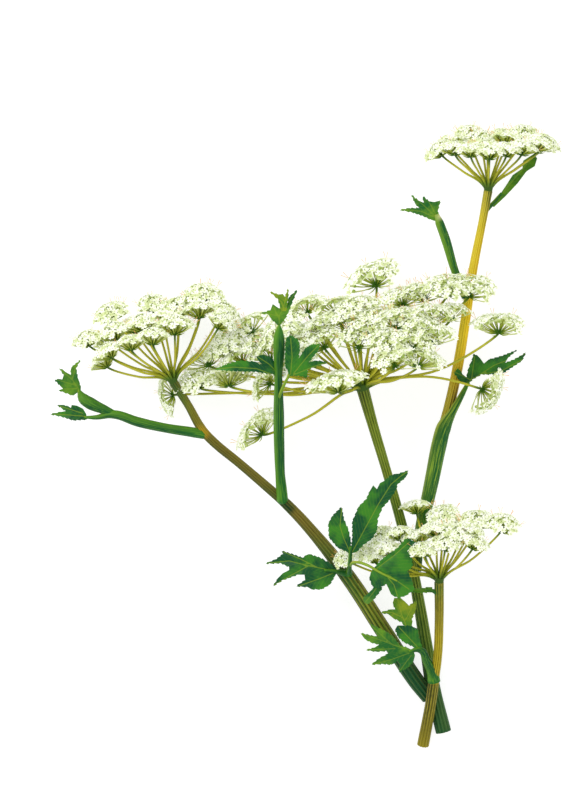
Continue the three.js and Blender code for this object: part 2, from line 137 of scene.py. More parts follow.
# %% [markdown]
# An umbel is a fan of rays from one hub, and each ray ends in a head, a small umbel of its own. A
# formula could spread the rays, but a real fan is uneven, and its outline is what the eye knows
# the plant by, so each head has a place. The big umbel's heads are broad and open, the left one's
# are round domes, and the other two's are small and flat. A head is its x, y and z and then, where
# it differs from the rest, its radius, the way it faces, the bow of its ray, and which form it
# has.

# %% The umbels
UMBELS = [
    {
        "name": "main_umbel",
        "node": "umbel_main",
        "hub": (35.8, 31, 45.5),
        "axis": (-0.17, 0.85, 0.5),
        "hub_radius": 4.6,
        "ray_radius": 0.82,
        "bow": 0.04,
        "habit": "open",
        "radius": 15.5,
        "facing": (1, 0.3, 0.0),
        "heads": [
            (45, 98, 24, 20.5, (-0.4, 0.78, 0.5), 0.04, 1), (0, 80, 40), (19, 80, 43), (33, 81, 45),
            (62, 85, 44, 16, (-0.05, 0.85, 0.45)), (76, 88, 46, 16.5, (-0.1, 0.85, 0.45)),
            (91, 92, 44, 17.5, (0, 0.85, 0.45)), (105, 91, 42, 18.5, (0.05, 0.82, 0.5), 0.02, 1),
            (-36, 68, 34), (-12, 70, 44), (10, 68, 55), (28, 68, 58), (47, 73, 56),
            (65, 72, 62), (82, 74, 62), (-53, 54, 32), (-42, 48, 38), (-24, 50, 46),
            (-6, 54, 60), (11, 57, 66), (33, 57, 72), (52, 57, 76), (68, 57, 78),
            (81, 60, 74, 17, (-0.1, 0.9, 0.3), 0.04, 1), (-70, 31.5, 26, 17.5, (-0.3, 0.85, 0.4)),
            (-51, 33, 38, 17.5, (-0.1, 0.75, -0.2), 0.07, 0),
            (-24, 34, 44, 15, (-0.75, 0.3, 0.3), 0.08, 1), (-5, 45, 62), (56, 45, 84),
            (71, 45, 84, 18.5, (0.2, 0.9, 0.25), 0.05, 1),
            (20, 29, 84, 20.5, (-0.2, 0.9, 0.18), 0.02, 0),
            (124, 67, 50, 18.5, (0.0, 0.9, 0.35), 0.09, 1),
            (113, 31, 50, 17, (0.65, -0.4, 0.35), -0.12, 1),
            (-29.5, 1, 33, 18, (-0.7, 0.6, 0.35), 0.03, 1),
            (-87.5, 27, 16, 14, (-0.9, -0.2, 0.25), 0.0, 1), (-64, 46, 32), (-16, 62, 52),
            (40, 64, 68), (58, 70, 66), (22, 74, 50), (74, 66, 70), (93, 76, 56, 14), (-48, 62, 28),
            (-30, 58, 38), (2, 63, 56),
        ],
    },
    {
        "name": "left_umbel",
        "node": "umbel_left",
        "hub": (-87, 35, 34.3),
        "axis": (-0.33, 0.92, 0.2),
        "hub_radius": 3.1,
        "ray_radius": 0.72,
        "bow": 0.04,
        "habit": "round",
        "radius": 11.4,
        "facing": (1, 0.22, -0.3),
        "heads": [
            (-142, 59, 38, 10.5, (-0.35, 0.85, 0.35)), (-126, 76, 22, 12, (-0.35, 0.75, 0.5)),
            (-101, 82.5, 16, 10.5, (-0.15, 0.85, 0.5)), (-84, 80, 24, 11.4, (-0.1, 0.9, 0.4)),
            (-68, 86.5, 28, 13.5, (-0.05, 0.8, 0.5)), (-57, 77, 36, 12, (0.5, 0.8, 0.3)),
            (-70, 77, 42), (-86, 66, 54, 13.5, (0.0, 1, 0.06)),
            (-107, 68.5, 40, 12, (-0.2, 0.95, 0.2)), (-124, 63, 46, 11.5, (-0.4, 0.9, 0.2)),
            (-114, 56, 62, 10.5, (-0.15, 1, 0.0)), (-127, 51, 56, 11, (-0.5, 0.85, 0.1)),
            (-100, 59.5, 62, 11.5, (-0.05, 1, 0.0)), (-58, 70, 50, 11, (0.45, 0.9, 0.15)),
            (-112, 68, 9), (-84, 77, 11), (-127, 60, 12), (-93, 71, 38), (-130, 45, 44, 10),
        ],
    },
    {
        "name": "tall_umbel",
        "node": "umbel_tall",
        "hub": (117.7, 160, 28),
        "axis": (0.05, 0.98, 0.15),
        "hub_radius": 3.0,
        "ray_radius": 0.7,
        "bow": 0.0,
        "habit": "flat",
        "radius": 10.8,
        "facing": (1, 0.2, -0.2),
        "heads": [
            (87.5, 183, 30, 10.5, (-0.55, 0.8, 0.3)), (96, 183, 41),
            (106, 193.5, 10, 10.5, (0.1, 0.75, 0.6)),
            (114, 190, 20, 10.5, (0.1, 0.8, 0.5)), (106, 181.5, 50), (117, 184, 38),
            (127, 191, 10, 10.5, (0.1, 0.75, 0.6)), (129, 182, 46),
            (141, 193.5, 15, 10.5, (0.1, 0.75, 0.6)), (139, 183, 42), (149, 185, 34),
            (153.5, 187.5, 22, 10.5, (0.5, 0.8, 0.35)),
            (118, 180, 52), (95, 188, 20), (129, 189, 28),
        ],
    },
    {
        "name": "front_umbel",
        "node": "umbel_front",
        "hub": (85.4, -94.5, 47),
        "axis": (0.1, 0.95, 0.28),
        "hub_radius": 3.1,
        "ray_radius": 0.7,
        "bow": 0.06,
        "habit": "flat",
        "radius": 10.4,
        "facing": (1, 0.3, -0.12),
        "heads": [
            (71, -50, 38), (89, -55, 42, 11.5, (-0.1, 0.8, 0.5)), (110, -59, 46, 12, (0, 0.8, 0.5)),
            (126, -61, 52, 12, (0.2, 0.75, 0.45)), (104, -64, 56),
            (107, -72.5, 64), (94, -67, 60, 11.5), (83, -65, 54, 11.5), (72, -70, 46, 11.5),
            (89, -73, 68), (76, -77, 64), (49, -69, 38, 11, (-0.2, 0.7, 0.6)), (60, -67, 45),
            (38, -78, 36, 8.5, (-0.2, 0.6, 0.6)), (44, -82, 40, 7), (55, -78, 46),
            (26, -81, 33, 8.5, (-0.4, 0.6, 0.6)), (102, -61, 38),
        ],
    },
]
print("umbellets:", sum(len(umbel["heads"]) for umbel in UMBELS))

# %% [markdown]
# A leaf here has stalks, the lowest one swollen into a sheath, and toothed leaflets. Stalks are
# routes like the stems'. The leaflets could be one shape bent in many ways, but no two have the
# same lobes, so each blade has its own outline, the ribs that its veins branch from, and the
# height of its two ends with an arch between. Its tone is deep, fresh or lime, from dark green to
# yellow-green.

# %% The leaves
LEAVES = [
    {
        "name": "forked_leaf",
        "node": "leaf_left_low",
        "stalks": [
            [(-64.4, 0.2, 32.6, 2.2), (-68, 1.4, 33.6, 3.1), (-72.5, 2.4, 34, 3.4),
             (-92, 5.5, 36, 3.1),
             (-110, 9.5, 37, 3.3), (-127, 14.5, 36, 2.9), (-137, 12.5, 34, 1.6),
             (-145, 12.5, 33, 0.9)],
            [(-124, 14.5, 36, 1.6), (-132, 17.5, 36, 3.1), (-141, 21.5, 35.5, 4.2),
             (-146, 25, 35, 3.7), (-149, 30.5, 34, 0.8)],
        ],
        "blades": [
            {
                "tone": "fresh",
                "ends": ((-148, 29, 33.5), (-156, 46, 37)),
                "arch": 1,
                "ribs": [[(-148, 30), (-153, 37), (-150, 48)], [(-149, 31), (-161, 31)],
                         [(-150, 33), (-163, 37)], [(-152, 36), (-161, 44)]],
                "outline": [
                    (-149, 29), (-152.5, 26.5), (-162, 30), (-159, 31), (-161, 33), (-164.5, 37),
                    (-159.5, 37), (-158.5, 40), (-161.5, 44.5), (-157.5, 42), (-154, 40),
                    (-153.5, 45), (-147.5, 50), (-150.5, 44.5), (-149.5, 38.5), (-148, 34.5),
                    (-147.5, 30),
                ],
            },
            {
                "tone": "deep",
                "ends": ((-143.5, 13, 32.5), (-167, 16, 29)),
                "arch": 1,
                "ribs": [[(-144, 13), (-155, 14), (-167, 14.7)], [(-146, 15), (-162, 20)]],
                "outline": [
                    (-143.5, 11), (-152.5, 10.5), (-160.5, 13), (-167.5, 14.5), (-160, 16),
                    (-157.5, 16.5), (-163, 20.5), (-158.5, 20.5), (-154, 18.5), (-153.5, 20.5),
                    (-150, 20), (-146, 18), (-144, 14.5),
                ],
            },
        ],
    },
    {
        "name": "upright_leaf",
        "node": "leaf_left_upright",
        "stalks": [
            [(-16.1, -43.6, 31.5, 2.6), (-16.3, -41.4, 32, 3.9), (-16.7, -36, 33.4, 3.7),
             (-17.7, -24, 39, 3.2), (-18.3, -6, 47, 3.5), (-18.6, 14, 58, 3.6),
             (-18.7, 27, 66, 3.1), (-18.8, 34, 70, 2.7), (-18.8, 41, 74, 2.6),
             (-18.6, 48, 77, 3.2), (-18.4, 56, 81, 3.8), (-18.4, 63.5, 84, 3.7),
             (-18.4, 68.5, 86, 2.5), (-18.4, 72, 87, 0.9)],
            [(-19, 24, 66, 1), (-15, 34, 76, 1), (-10, 43, 82, 0.8)],
        ],
        "blades": [
            {
                "tone": "fresh",
                "ends": ((-18.5, 71.5, 86), (-13, 95, 89)),
                "arch": 1,
                "ribs": [[(-18.5, 72), (-18, 79), (-8, 93)], [(-18.5, 78), (-29, 79.7)],
                         [(-18.5, 76), (-22, 84)]],
                "outline": [
                    (-18.5, 71.5), (-23.5, 76), (-25.5, 79), (-30.5, 79.5), (-24, 81.5),
                    (-22.5, 85.5), (-19, 83), (-14, 82.5), (-12, 90), (-6.5, 95), (-9.5, 88),
                    (-12, 81.5), (-14.5, 76),
                ],
            },
            {
                "tone": "lime",
                "ends": ((-17, 82, 88.4), (-18, 95, 94)),
                "arch": 0.5,
                "ribs": [[(-15.5, 82), (-17, 87), (-23.5, 93)], [(-15.5, 84), (-12.8, 94.5)]],
                "outline": [
                    (-17, 81), (-19, 88.5), (-24.5, 93.5), (-19, 91.5), (-16, 92), (-14.5, 90),
                    (-12.5, 95.5), (-12.5, 90), (-14, 81),
                ],
            },
            {
                "tone": "deep",
                "ends": ((-18, 38, 73), (-60, 43.5, 76)),
                "arch": 4,
                "ribs": [[(-18, 38.5), (-33, 44), (-48, 45), (-59, 43.7)],
                         [(-19, 41), (-25, 47), (-32, 51.5)]],
                "outline": [
                    (-18, 37.5), (-22.5, 40.5), (-33, 42), (-47.5, 42.5), (-60, 43.5), (-53, 46.5),
                    (-44.5, 49), (-34.5, 48.5), (-28.5, 46), (-31.5, 49), (-33, 51.5), (-30, 53),
                    (-24, 51.5), (-21, 47.5), (-19, 43),
                ],
            },
            {
                "tone": "deep",
                "ends": ((-11, 40, 81), (0, 62, 88)),
                "arch": 1,
                "ribs": [[(-11, 40), (-10, 52), (-11, 64)], [(-9, 41), (0, 52), (7, 59)],
                         [(-9, 40), (3, 45), (12, 48)]],
                "outline": [
                    (-11.5, 39.5), (-14.5, 46), (-14.5, 57.5), (-13.5, 64), (-11, 65.5),
                    (-6, 62.5), (-5, 57.5), (-6, 50), (-4, 53), (-1, 57.5), (2.5, 59.5), (8, 59.5),
                    (7, 56), (3.5, 51.5), (0.5, 48), (6, 49), (13, 48), (6.5, 45.5), (0, 43.5),
                    (-0.5, 38), (-5.5, 39.5),
                ],
            },
        ],
    },
    {
        "name": "axil_leaf",
        "node": "leaf_left_axil",
        "stalks": [
            [(27, -90, 27, 2.4), (27.3, -85, 38, 1.5), (27.7, -79, 46, 1.3), (28, -71, 49.5, 1.1)],
            [(27.3, -84, 40, 1.0), (31, -81.5, 50, 1.0), (38, -83, 56, 0.95), (47, -88, 58.9, 0.8),
             (58, -93.5, 60.6, 0.5)],
            [(25, -89, 28, 2.6), (19, -88, 32, 1.5), (11, -87, 33.6, 0.9)],
        ],
        "blades": [
            {
                "tone": "deep",
                "ends": ((19, -88, 31), (-25, -88, 24)),
                "arch": 4,
                "ribs": [[(21, -88.5), (10, -86), (0, -84), (-12, -81), (-26, -82.7)],
                         [(18, -88.5), (8, -92.5), (-6, -97.5)],
                         [(0, -84.5), (-10, -90), (-22, -97)],
                         [(6, -85), (-4, -80), (-16, -75)]],
                "outline": [
                    (19, -87), (14.5, -82.5), (8.5, -79), (1, -76.5), (-3.5, -79), (-9, -77),
                    (-17, -74.5), (-16, -76.5), (-20.5, -80), (-27.5, -83), (-17.5, -82.5),
                    (-12, -85), (-12, -87), (-16, -89), (-19, -92), (-22.5, -97.5), (-16, -93.5),
                    (-6.5, -90), (-2, -90), (-1.5, -93.5), (-7.5, -97.5), (0, -98), (2.5, -99.5),
                    (9, -99.5), (14.5, -96.5), (17.5, -91.5), (19, -89),
                ],
            },
            {
                "tone": "deep",
                "ends": ((27.5, -75, 47.5), (22, -45.5, 53)),
                "arch": 3,
                "ribs": [[(28, -76), (23.5, -66), (21, -58), (22.2, -46)]],
                "outline": [
                    (28, -76), (19.5, -72), (14, -65.5), (13.5, -56.5), (16, -51.5), (22, -45.5),
                    (23.5, -53.5), (26.5, -60.5), (28, -67.5),
                ],
            },
            {
                "tone": "deep",
                "ends": ((29, -75, 47.5), (65, -22, 51)),
                "arch": 8,
                "ribs": [[(28.5, -76), (37, -60), (46, -43.5), (54, -31), (60, -26), (65, -22.5)]],
                "outline": [
                    (28, -76), (29, -65.5), (29, -55), (33, -45.5), (38, -40.5), (40.5, -35),
                    (42.5, -31.5), (45, -34), (47, -30), (50, -28.5), (54, -25), (59, -24),
                    (65.5, -22), (63.5, -26.5), (58.5, -30.5), (57, -35), (53, -41), (48.5, -46),
                    (45.5, -53), (45, -60.5), (42, -66), (36.5, -70), (31.5, -75),
                ],
            },
            {
                "tone": "deep",
                "ends": ((41, -87, 56.5), (69, -85, 61)),
                "arch": 1,
                "ribs": [[(40, -85.5), (53, -90), (66, -99)], [(44, -86), (56, -77), (66, -68)],
                         [(50, -89), (56, -96), (58.5, -104)]],
                "outline": [
                    (44, -84), (48, -79.5), (58.5, -72), (63.5, -66), (68, -67.5), (72, -69),
                    (69.5, -73.5), (67.5, -78), (68, -84), (64.5, -87), (67.5, -93), (69, -99),
                    (63.5, -103), (58.5, -104.5), (54, -102), (52.5, -98.5), (51, -95.5),
                    (45.5, -98.5), (42, -97), (40, -91.5), (41, -88),
                ],
            },
            {
                "tone": "fresh",
                "ends": ((46, -97, 57.2), (36.5, -107.5, 46)),
                "arch": 1,
                "ribs": [[(46, -96), (42, -102), (37, -108)]],
                "outline": [
                    (44, -95), (48.5, -98), (45, -103), (42, -106.5), (39, -109), (36.5, -107.5),
                    (36, -104.5), (39, -102), (42, -99),
                ],
            },
        ],
    },
    {
        "name": "swollen_sheath",
        "node": "leaf_tall_sheath",
        "finish": "veined",
        "stalks": [
            [(72.6, -70, 23.4, 3.6), (74.5, -58, 23.6, 4.1), (78.7, -40, 24, 4.6),
             (81.5, -27, 24.2, 4.9), (86, -5, 24.4, 5.2), (89, 6, 25, 5), (94.5, 16, 26.5, 2.7),
             (100, 26, 27, 2), (105, 35.5, 27, 1.2)],
        ],
        "blades": [
            {
                "tone": "deep",
                "ends": ((103.5, 34, 27.2), (142, 54.5, 19)),
                "arch": 1,
                "ribs": [[(104, 35), (122, 46.5), (142, 54)], [(106, 37), (100, 40), (96, 42)],
                         [(107, 38), (109, 52)], [(112, 40), (127, 43), (140, 50)]],
                "outline": [
                    (103.5, 33.5), (99, 36.5), (95.5, 41.5), (98, 44.5), (101, 40.5),
                    (103.5, 38.5), (105, 44.5), (107, 49), (108.5, 54), (112.5, 51), (115, 47.5),
                    (118, 50), (127, 52.5), (137, 56.5), (131, 51.5), (129, 48), (134.5, 50),
                    (142.5, 54.5), (140, 49.5), (132.5, 44.5), (125.5, 40), (119.5, 40.5),
                    (113.5, 40.5), (108, 37.5),
                ],
            },
        ],
    },
    {
        "name": "small_sheathed_leaf",
        "node": "leaf_tall_upper",
        "finish": "mouthed",
        "stalks": [
            [(103, 91, 24, 2.8), (100, 98, 27, 2.6), (96, 108, 30, 2.6), (90, 128, 33, 3.1),
             (86, 139, 34, 2.9), (84, 144.5, 34, 1.6)],
        ],
        "blades": [
            {
                "tone": "fresh",
                "ends": ((84, 141, 33.5), (64, 153, 34)),
                "arch": 1.5,
                "ribs": [[(84, 142), (74, 146.5), (61, 147.7)], [(83.5, 143), (76, 150), (69, 156)],
                         [(84, 144), (79, 152.5)]],
                "outline": [
                    (83.5, 140), (80.5, 141), (75, 143.5), (67.5, 146), (60, 147.5),
                    (66.5, 148.5), (72.5, 148.5), (69.5, 152.5), (67.5, 157.5), (72, 153.5),
                    (75.5, 152), (75, 156.5), (79, 153), (82.5, 152.5), (86.5, 153.5), (85, 147.5),
                    (85, 142.5),
                ],
            },
        ],
    },
    {
        "name": "long_bract",
        "node": "bract_tall_top",
        "stalks": [[(116.5, 147.5, 26, 1.8), (120.5, 151.5, 23.5, 1.3), (126.5, 158.5, 20.5, 0.9)]],
        "blades": [
            {
                "tone": "fresh",
                "edge": "smooth",
                "ends": ((119, 150, 23.5), (149, 181, 12.5)),
                "arch": -1,
                "ribs": [[(121, 151), (135, 168), (148, 183)]],
                "outline": [
                    (120, 151), (125.5, 157.5), (130.5, 165), (134, 170.5), (140.5, 175),
                    (141, 180), (148, 184.5), (150, 181.5), (148.5, 176.5), (143, 173), (137, 165),
                    (129, 156.5), (121.5, 149.5),
                ],
            },
        ],
    },
    {
        "name": "low_leaf",
        "node": "leaf_front_low",
        "stalks": [
            [(82.6, -159.8, 21.2, 4.3), (81.8, -154.6, 23.2, 3.8), (77.6, -146, 27.5, 2.8),
             (73.5, -139, 31.5, 2.2), (66, -140, 33, 0.9)],
        ],
        "blades": [
            {
                "tone": "fresh",
                "ends": ((70, -140, 32), (37, -137, 31)),
                "arch": 2,
                "ribs": [[(70, -140), (57, -136), (46, -132), (35.5, -128.5)],
                         [(56, -136), (49, -130), (41, -122.5)], [(57, -138), (39, -139)],
                         [(66, -141), (55, -145), (43, -148.3)],
                         [(68, -142), (64, -147), (60.5, -152)]],
                "outline": [
                    (69, -139.5), (65, -137.5), (60, -136), (56, -130.5), (51, -127), (46, -124.5),
                    (40.5, -122), (43, -126), (46.5, -130), (43, -130), (34.5, -128), (37, -131.5),
                    (41, -134), (46.5, -135.5), (43.5, -137.5), (38, -139), (44.5, -140),
                    (51.5, -139.5), (53, -141), (46.5, -144.5), (41.5, -148.5), (49, -148),
                    (54.5, -148.5), (58.5, -146), (60.5, -148.5), (59.5, -153.5), (65, -150.5),
                    (69, -146.5), (70, -142.5),
                ],
            },
            {
                "tone": "deep",
                "ends": ((73, -139, 31.5), (58, -123.5, 34)),
                "arch": 1,
                "ribs": [[(73, -138.5), (66, -131), (59, -123.5)]],
                "outline": [
                    (73.5, -139), (63, -134), (59, -130.5), (57, -125.5), (58.5, -123), (63, -123),
                    (67.5, -123.5), (71.5, -125), (72.5, -130.5), (74.5, -137.5),
                ],
            },
            {
                "tone": "lime",
                "ends": ((67, -126, 33.6), (58, -105, 36)),
                "arch": 1,
                "ribs": [[(65, -125), (61, -115), (58.5, -105.5)],
                         [(62, -118), (55, -114.5), (49, -114.4)],
                         [(64, -119), (69, -109)]],
                "outline": [
                    (65, -126), (61.5, -121), (55.5, -118), (52.5, -115.5), (47.5, -114.5),
                    (54.5, -112.5), (57, -112.5), (55.5, -108), (56.5, -105), (60.5, -105),
                    (63.5, -107.5), (66, -110), (71, -107), (70, -113.5), (68, -118.5), (68, -126),
                ],
            },
        ],
    },
    {
        "name": "short_bract",
        "node": "bract_front_top",
        "stalks": [[(85, -102, 44.5, 2), (81, -100, 45.8, 1.2), (76, -99.5, 46.2, 0.8)]],
        "blades": [
            {
                "tone": "fresh",
                "ends": ((81, -99, 45.6), (62.5, -100, 42)),
                "arch": 1,
                "ribs": [[(81, -99.5), (63, -100)]],
                "outline": [
                    (81, -97.8), (78.5, -97.8), (73, -99), (67.5, -98.5), (62.5, -100),
                    (67.5, -101), (73, -101.5), (78.5, -101.2), (81, -101.2),
                ],
            },
        ],
    },
]
print("leaves:", len(LEAVES), "with", sum(len(leaf["blades"]) for leaf in LEAVES), "blades")

# %% [markdown]
# ## Finishes
# Every tissue of the plant is wet cells under a thin layer of wax, so one function starts each
# finish with the same shader: no metal, the IOR of plant wax, about 1.45, and little gloss,
# because the wax is finely uneven. Colours are named as sRGB hex values, as a colour chart gives
# them, and turned to the linear values that the shader wants. Nodes could be placed one line at a
# time. One function adds a node with all that belongs to it instead, so that a pattern reads as a
# recipe.

# %% Colour and node helpers
WAX_IOR = 1.45
DULL_SPECULAR = 0.2
FACTOR, UNDER, OVER, MIXED = 0, 6, 7, 2  # a Mix node's sockets for colours, and its output
BLEND = {"data_type": "RGBA"}
DARKEN = {"data_type": "RGBA", "blend_type": "MULTIPLY"}
SMOOTH = {"interpolation_type": "SMOOTHSTEP"}
TIMES = {"operation": "MULTIPLY"}
TIMES_PLUS = {"operation": "MULTIPLY_ADD"}
COSINE = {"operation": "COSINE"}


def linear(hex_colour):
    """An sRGB hex colour as linear red, green, blue and alpha, by the standard's own curve."""
    shares = [int(hex_colour[i : i + 2], 16) / 255 for i in (1, 3, 5)]
    lit = [s / 12.92 if s <= 0.04045 else ((s + 0.055) / 1.055) ** 2.4 for s in shares]
    return (*lit, 1.0)


def add_node(tree, kind, settings=None, values=None, links=None, stops=None, output=0):
    """Adds a node with its settings, its sockets' values, the outputs that are linked into it and
    its ramp's stops, and returns one of its outputs."""
    node = tree.nodes.new(kind)
    for setting, value in (settings or {}).items():
        setattr(node, setting, value)
    for socket, value in (values or {}).items():
        node.inputs[socket].default_value = value
    for socket, source in (links or {}).items():
        tree.links.new(source, node.inputs[socket])
    if stops:
        elements = node.color_ramp.elements
        while len(elements) < len(stops):
            elements.new(1.0)
        for element, (position, colour) in zip(elements, stops):
            element.position = position
            element.color = linear(colour)
    return node.outputs[output]


def plant_finish(name, roughness, coat=0.0):
    """A material with its node tree and its shader."""
    material = bpy.data.materials.new(name)
    material.use_nodes = True
    tree = material.node_tree
    shader = tree.nodes["Principled BSDF"]
    shader.inputs["Roughness"].default_value = roughness
    shader.inputs["Coat Weight"].default_value = coat
    shader.inputs["IOR"].default_value = WAX_IOR
    shader.inputs["Specular IOR Level"].default_value = DULL_SPECULAR
    return material, tree, shader


print("white as linear:", linear("#ffffff"))

# %% [markdown]
# ### Stem skin
# A stem's skin is a waxy layer over green tissue, stretched over ribs. The ribs catch light and are
# yellower, and the grooves between them are thin dark lines. Ribs in the mesh alone would be too
# faint, since most of what shows is colour, so the lines are drawn as well. They follow the tube's
# own map, which runs once round and once along, and the colour changes from foot to hub along it.
# The side towards the light gets painted light, a lighter colour, and the side away from it gets
# painted shade, a darker one, which an attribute of the tube tells.

# %% Stem skin material
STEM_RIBS = 12
NODE_BLUR = 0.03


def tube_map(tree):
    """A tube's own map, and from it the share of the way round and the share of the length."""
    skin = add_node(tree, "ShaderNodeUVMap", {"uv_map": "UVMap"})
    turn = add_node(tree, "ShaderNodeSeparateXYZ", links={"Vector": skin})
    # The sides of a cylinder fill the upper half of its map.
    length = add_node(tree, "ShaderNodeMapRange", values={"From Min": 0.5, "From Max": 1.0},
                      links={"Value": turn.node.outputs["Y"]})
    return skin, turn, length


def stem_skin(name, along, groove, crest, painted_shade, painted_glow, streaks, node):
    """along: (share of the length, colour) stops; groove and crest: the lines and tops of the ribs;
    painted_shade and painted_glow: the colours of the painted shade on the side away from the light
    and of the painted light on the side towards it; streaks: how strong the ribs' colours are below
    and above the node, which is a share of the length."""
    material, tree, shader = plant_finish(name, roughness=0.55, coat=0.05)
    skin, turn, length = tube_map(tree)
    base = add_node(tree, "ShaderNodeValToRGB", links={"Fac": length}, stops=along)
    strength = add_node(
        tree, "ShaderNodeMapRange", links={"Value": length},
        values={"From Min": node - NODE_BLUR, "From Max": node + NODE_BLUR,
                "To Min": streaks[0], "To Max": streaks[1]},
    )
    # The foot of a stem is old and smooth: its own colour, and hardly any ribs.
    grown = add_node(tree, "ShaderNodeMapRange", links={"Value": length},
                     values={"From Min": 0.1, "From Max": 0.22, "To Min": 0.2})
    ribbed = add_node(tree, "ShaderNodeMath", TIMES, links={0: grown, 1: strength})
    # Long fibres: noise drawn out along the stem, about 0.7 mm wide and 6 to 8 mm long.
    drawn = add_node(tree, "ShaderNodeMapping", values={"Scale": (34.0, 60.0, 1.0)},
                     links={"Vector": skin})
    fibre = add_node(tree, "ShaderNodeTexNoise", links={"Vector": drawn},
                     values={"Scale": 1.0, "Detail": 4.0, "Roughness": 0.6})
    # One wave a rib, made uneven by the fibres: its bottom is the groove, and its top the crest.
    turns = add_node(tree, "ShaderNodeMath", TIMES, {1: 2 * math.pi * STEM_RIBS}, {0: turn})
    wave = add_node(tree, "ShaderNodeMath", COSINE, links={0: turns})
    uneven_level = add_node(tree, "ShaderNodeMath", TIMES_PLUS, {1: 2.2}, {0: fibre, 2: wave})
    dark = add_node(tree, "ShaderNodeMapRange", SMOOTH, {"From Min": 0.55, "From Max": -0.1},
                    {"Value": uneven_level, "To Max": ribbed})
    light = add_node(tree, "ShaderNodeMapRange", SMOOTH, {"From Min": 1.6, "From Max": 2.3},
                     {"Value": uneven_level, "To Max": ribbed})
    # Painted light and shade: the side towards the light is mixed towards the glow colour, and the
    # side away from it towards the shade colour.
    painted_lit_side = add_node(tree, "ShaderNodeAttribute", {"attribute_name": "sun_side"}, output="Fac")
    shaded = add_node(tree, "ShaderNodeMapRange", SMOOTH,
                      {"From Min": 0.62, "From Max": 0.2, "To Max": 0.85}, {"Value": painted_lit_side})
    lit = add_node(tree, "ShaderNodeMapRange", SMOOTH,
                   {"From Min": 0.75, "From Max": 0.98, "To Max": 0.5}, {"Value": painted_lit_side})
    painted_shade_mix = add_node(tree, "ShaderNodeMix", BLEND, {OVER: linear(painted_shade)},
                    {FACTOR: shaded, UNDER: base}, output=MIXED)
    painted_light_mix = add_node(tree, "ShaderNodeMix", BLEND, {OVER: linear(painted_glow)},
                    {FACTOR: lit, UNDER: painted_shade_mix}, output=MIXED)
    toned = add_node(tree, "ShaderNodeMix", BLEND, output=MIXED,
                     links={FACTOR: grown, UNDER: base, OVER: painted_light_mix})
    striped = add_node(tree, "ShaderNodeMix", BLEND, {OVER: linear(crest)},
                       {FACTOR: light, UNDER: toned}, output=MIXED)
    lined = add_node(tree, "ShaderNodeMix", DARKEN, {OVER: linear(groove)},
                     {FACTOR: dark, UNDER: striped}, output=MIXED)
    relief = add_node(tree, "ShaderNodeBump", values={"Strength": 0.35, "Distance": 0.0004},
                      links={"Height": uneven_level})
    tree.links.new(lined, shader.inputs["Base Color"])
    tree.links.new(relief, shader.inputs["Normal"])
    return material


MAIN_SKIN = stem_skin(
    "olive ribbed stem skin",
    [(0.0, "#25562a"), (0.13, "#2a5a2a"), (0.22, "#3c6828"), (0.3, "#4a6e28"), (0.45, "#587a28"),
     (0.62, "#5a7a26"), (0.75, "#708226"), (0.9, "#758824"), (0.96, "#677824"), (1.0, "#46581e")],
    groove="#5c6238", crest="#9aa832", painted_shade="#36581f", painted_glow="#7a9026",
    streaks=(0.3, 0.75), node=0.28,
)
# The dark band from 0.576 to 0.604, at the foot of the upright leaf, is a painted shadow under the
# leaf's collar.
LEFT_SKIN = stem_skin(
    "brown ribbed stem skin",
    [(0.0, "#174f2a"), (0.12, "#1a5a2b"), (0.155, "#2a5a28"), (0.19, "#5f7a22"), (0.26, "#6a7e22"),
     (0.31, "#5a7624"), (0.36, "#3c6626"), (0.41, "#4b6222"), (0.45, "#5e6c26"), (0.5, "#706a26"),
     (0.55, "#786a24"), (0.564, "#786a24"), (0.576, "#1b3a18"), (0.604, "#22441c"),
     (0.625, "#4e5a20"), (0.68, "#6c6422"), (0.8, "#665f22"), (0.84, "#6c6622"),
     (0.853, "#b0901a"), (0.866, "#b49418"), (0.885, "#7c7622"), (0.93, "#727824"),
     (0.97, "#4c6c28"), (1.0, "#3c5a22")],
    groove="#54562f", crest="#a8a434", painted_shade="#3f5020", painted_glow="#8a7c2c",
    streaks=(0.75, 0.2), node=0.36,
)
# Its brightest stretch, 0.56 to 0.72, is partly the stem's golden colour and partly painted light
# that makes up for the shade of the main umbel above it.
TALL_SKIN = stem_skin(
    "golden stem skin",
    [(0.0, "#205a22"), (0.36, "#3f4f1a"), (0.43, "#4a4a16"), (0.46, "#7a6014"), (0.5, "#c09814"),
     (0.56, "#eec81c"), (0.62, "#ffdc24"), (0.72, "#fad624"), (0.8, "#dab91c"), (0.88, "#d0b61c"),
     (0.94, "#a89c1c"), (0.975, "#6c701c"), (1.0, "#4a5c20")],
    groove="#c8ab68", crest="#f4de48", painted_shade="#c09a1c", painted_glow="#f4e04c",
    streaks=(0.4, 0.22), node=0.47,
)
FRONT_SKIN = stem_skin(
    "ochre ribbed stem skin",
    [(0.0, "#94881e"), (0.1, "#7d741c"), (0.3, "#59581a"), (0.385, "#4c4f1a"), (0.395, "#b09a18"),
     (0.5, "#ac9a18"), (0.65, "#b0a01c"), (0.77, "#8e8420"), (0.88, "#767420"), (0.94, "#56701f"),
     (0.97, "#3f6420"), (1.0, "#3c5a20")],
    groove="#6a6034", crest="#beb032", painted_shade="#5c5a1e", painted_glow="#b4a62c",
    streaks=(0.7, 0.7), node=0.4,
)
print("stem skins:", [m.name for m in (MAIN_SKIN, LEFT_SKIN, TALL_SKIN, FRONT_SKIN)])

# %% [markdown]
# ### Cut pith
# Where a stem is cut, a pale spongy pith shows. It could be a plain pale disc, but its cells,
# about 0.6 mm across, give the cut its dry open grain, so a cell pattern of that size tints it.

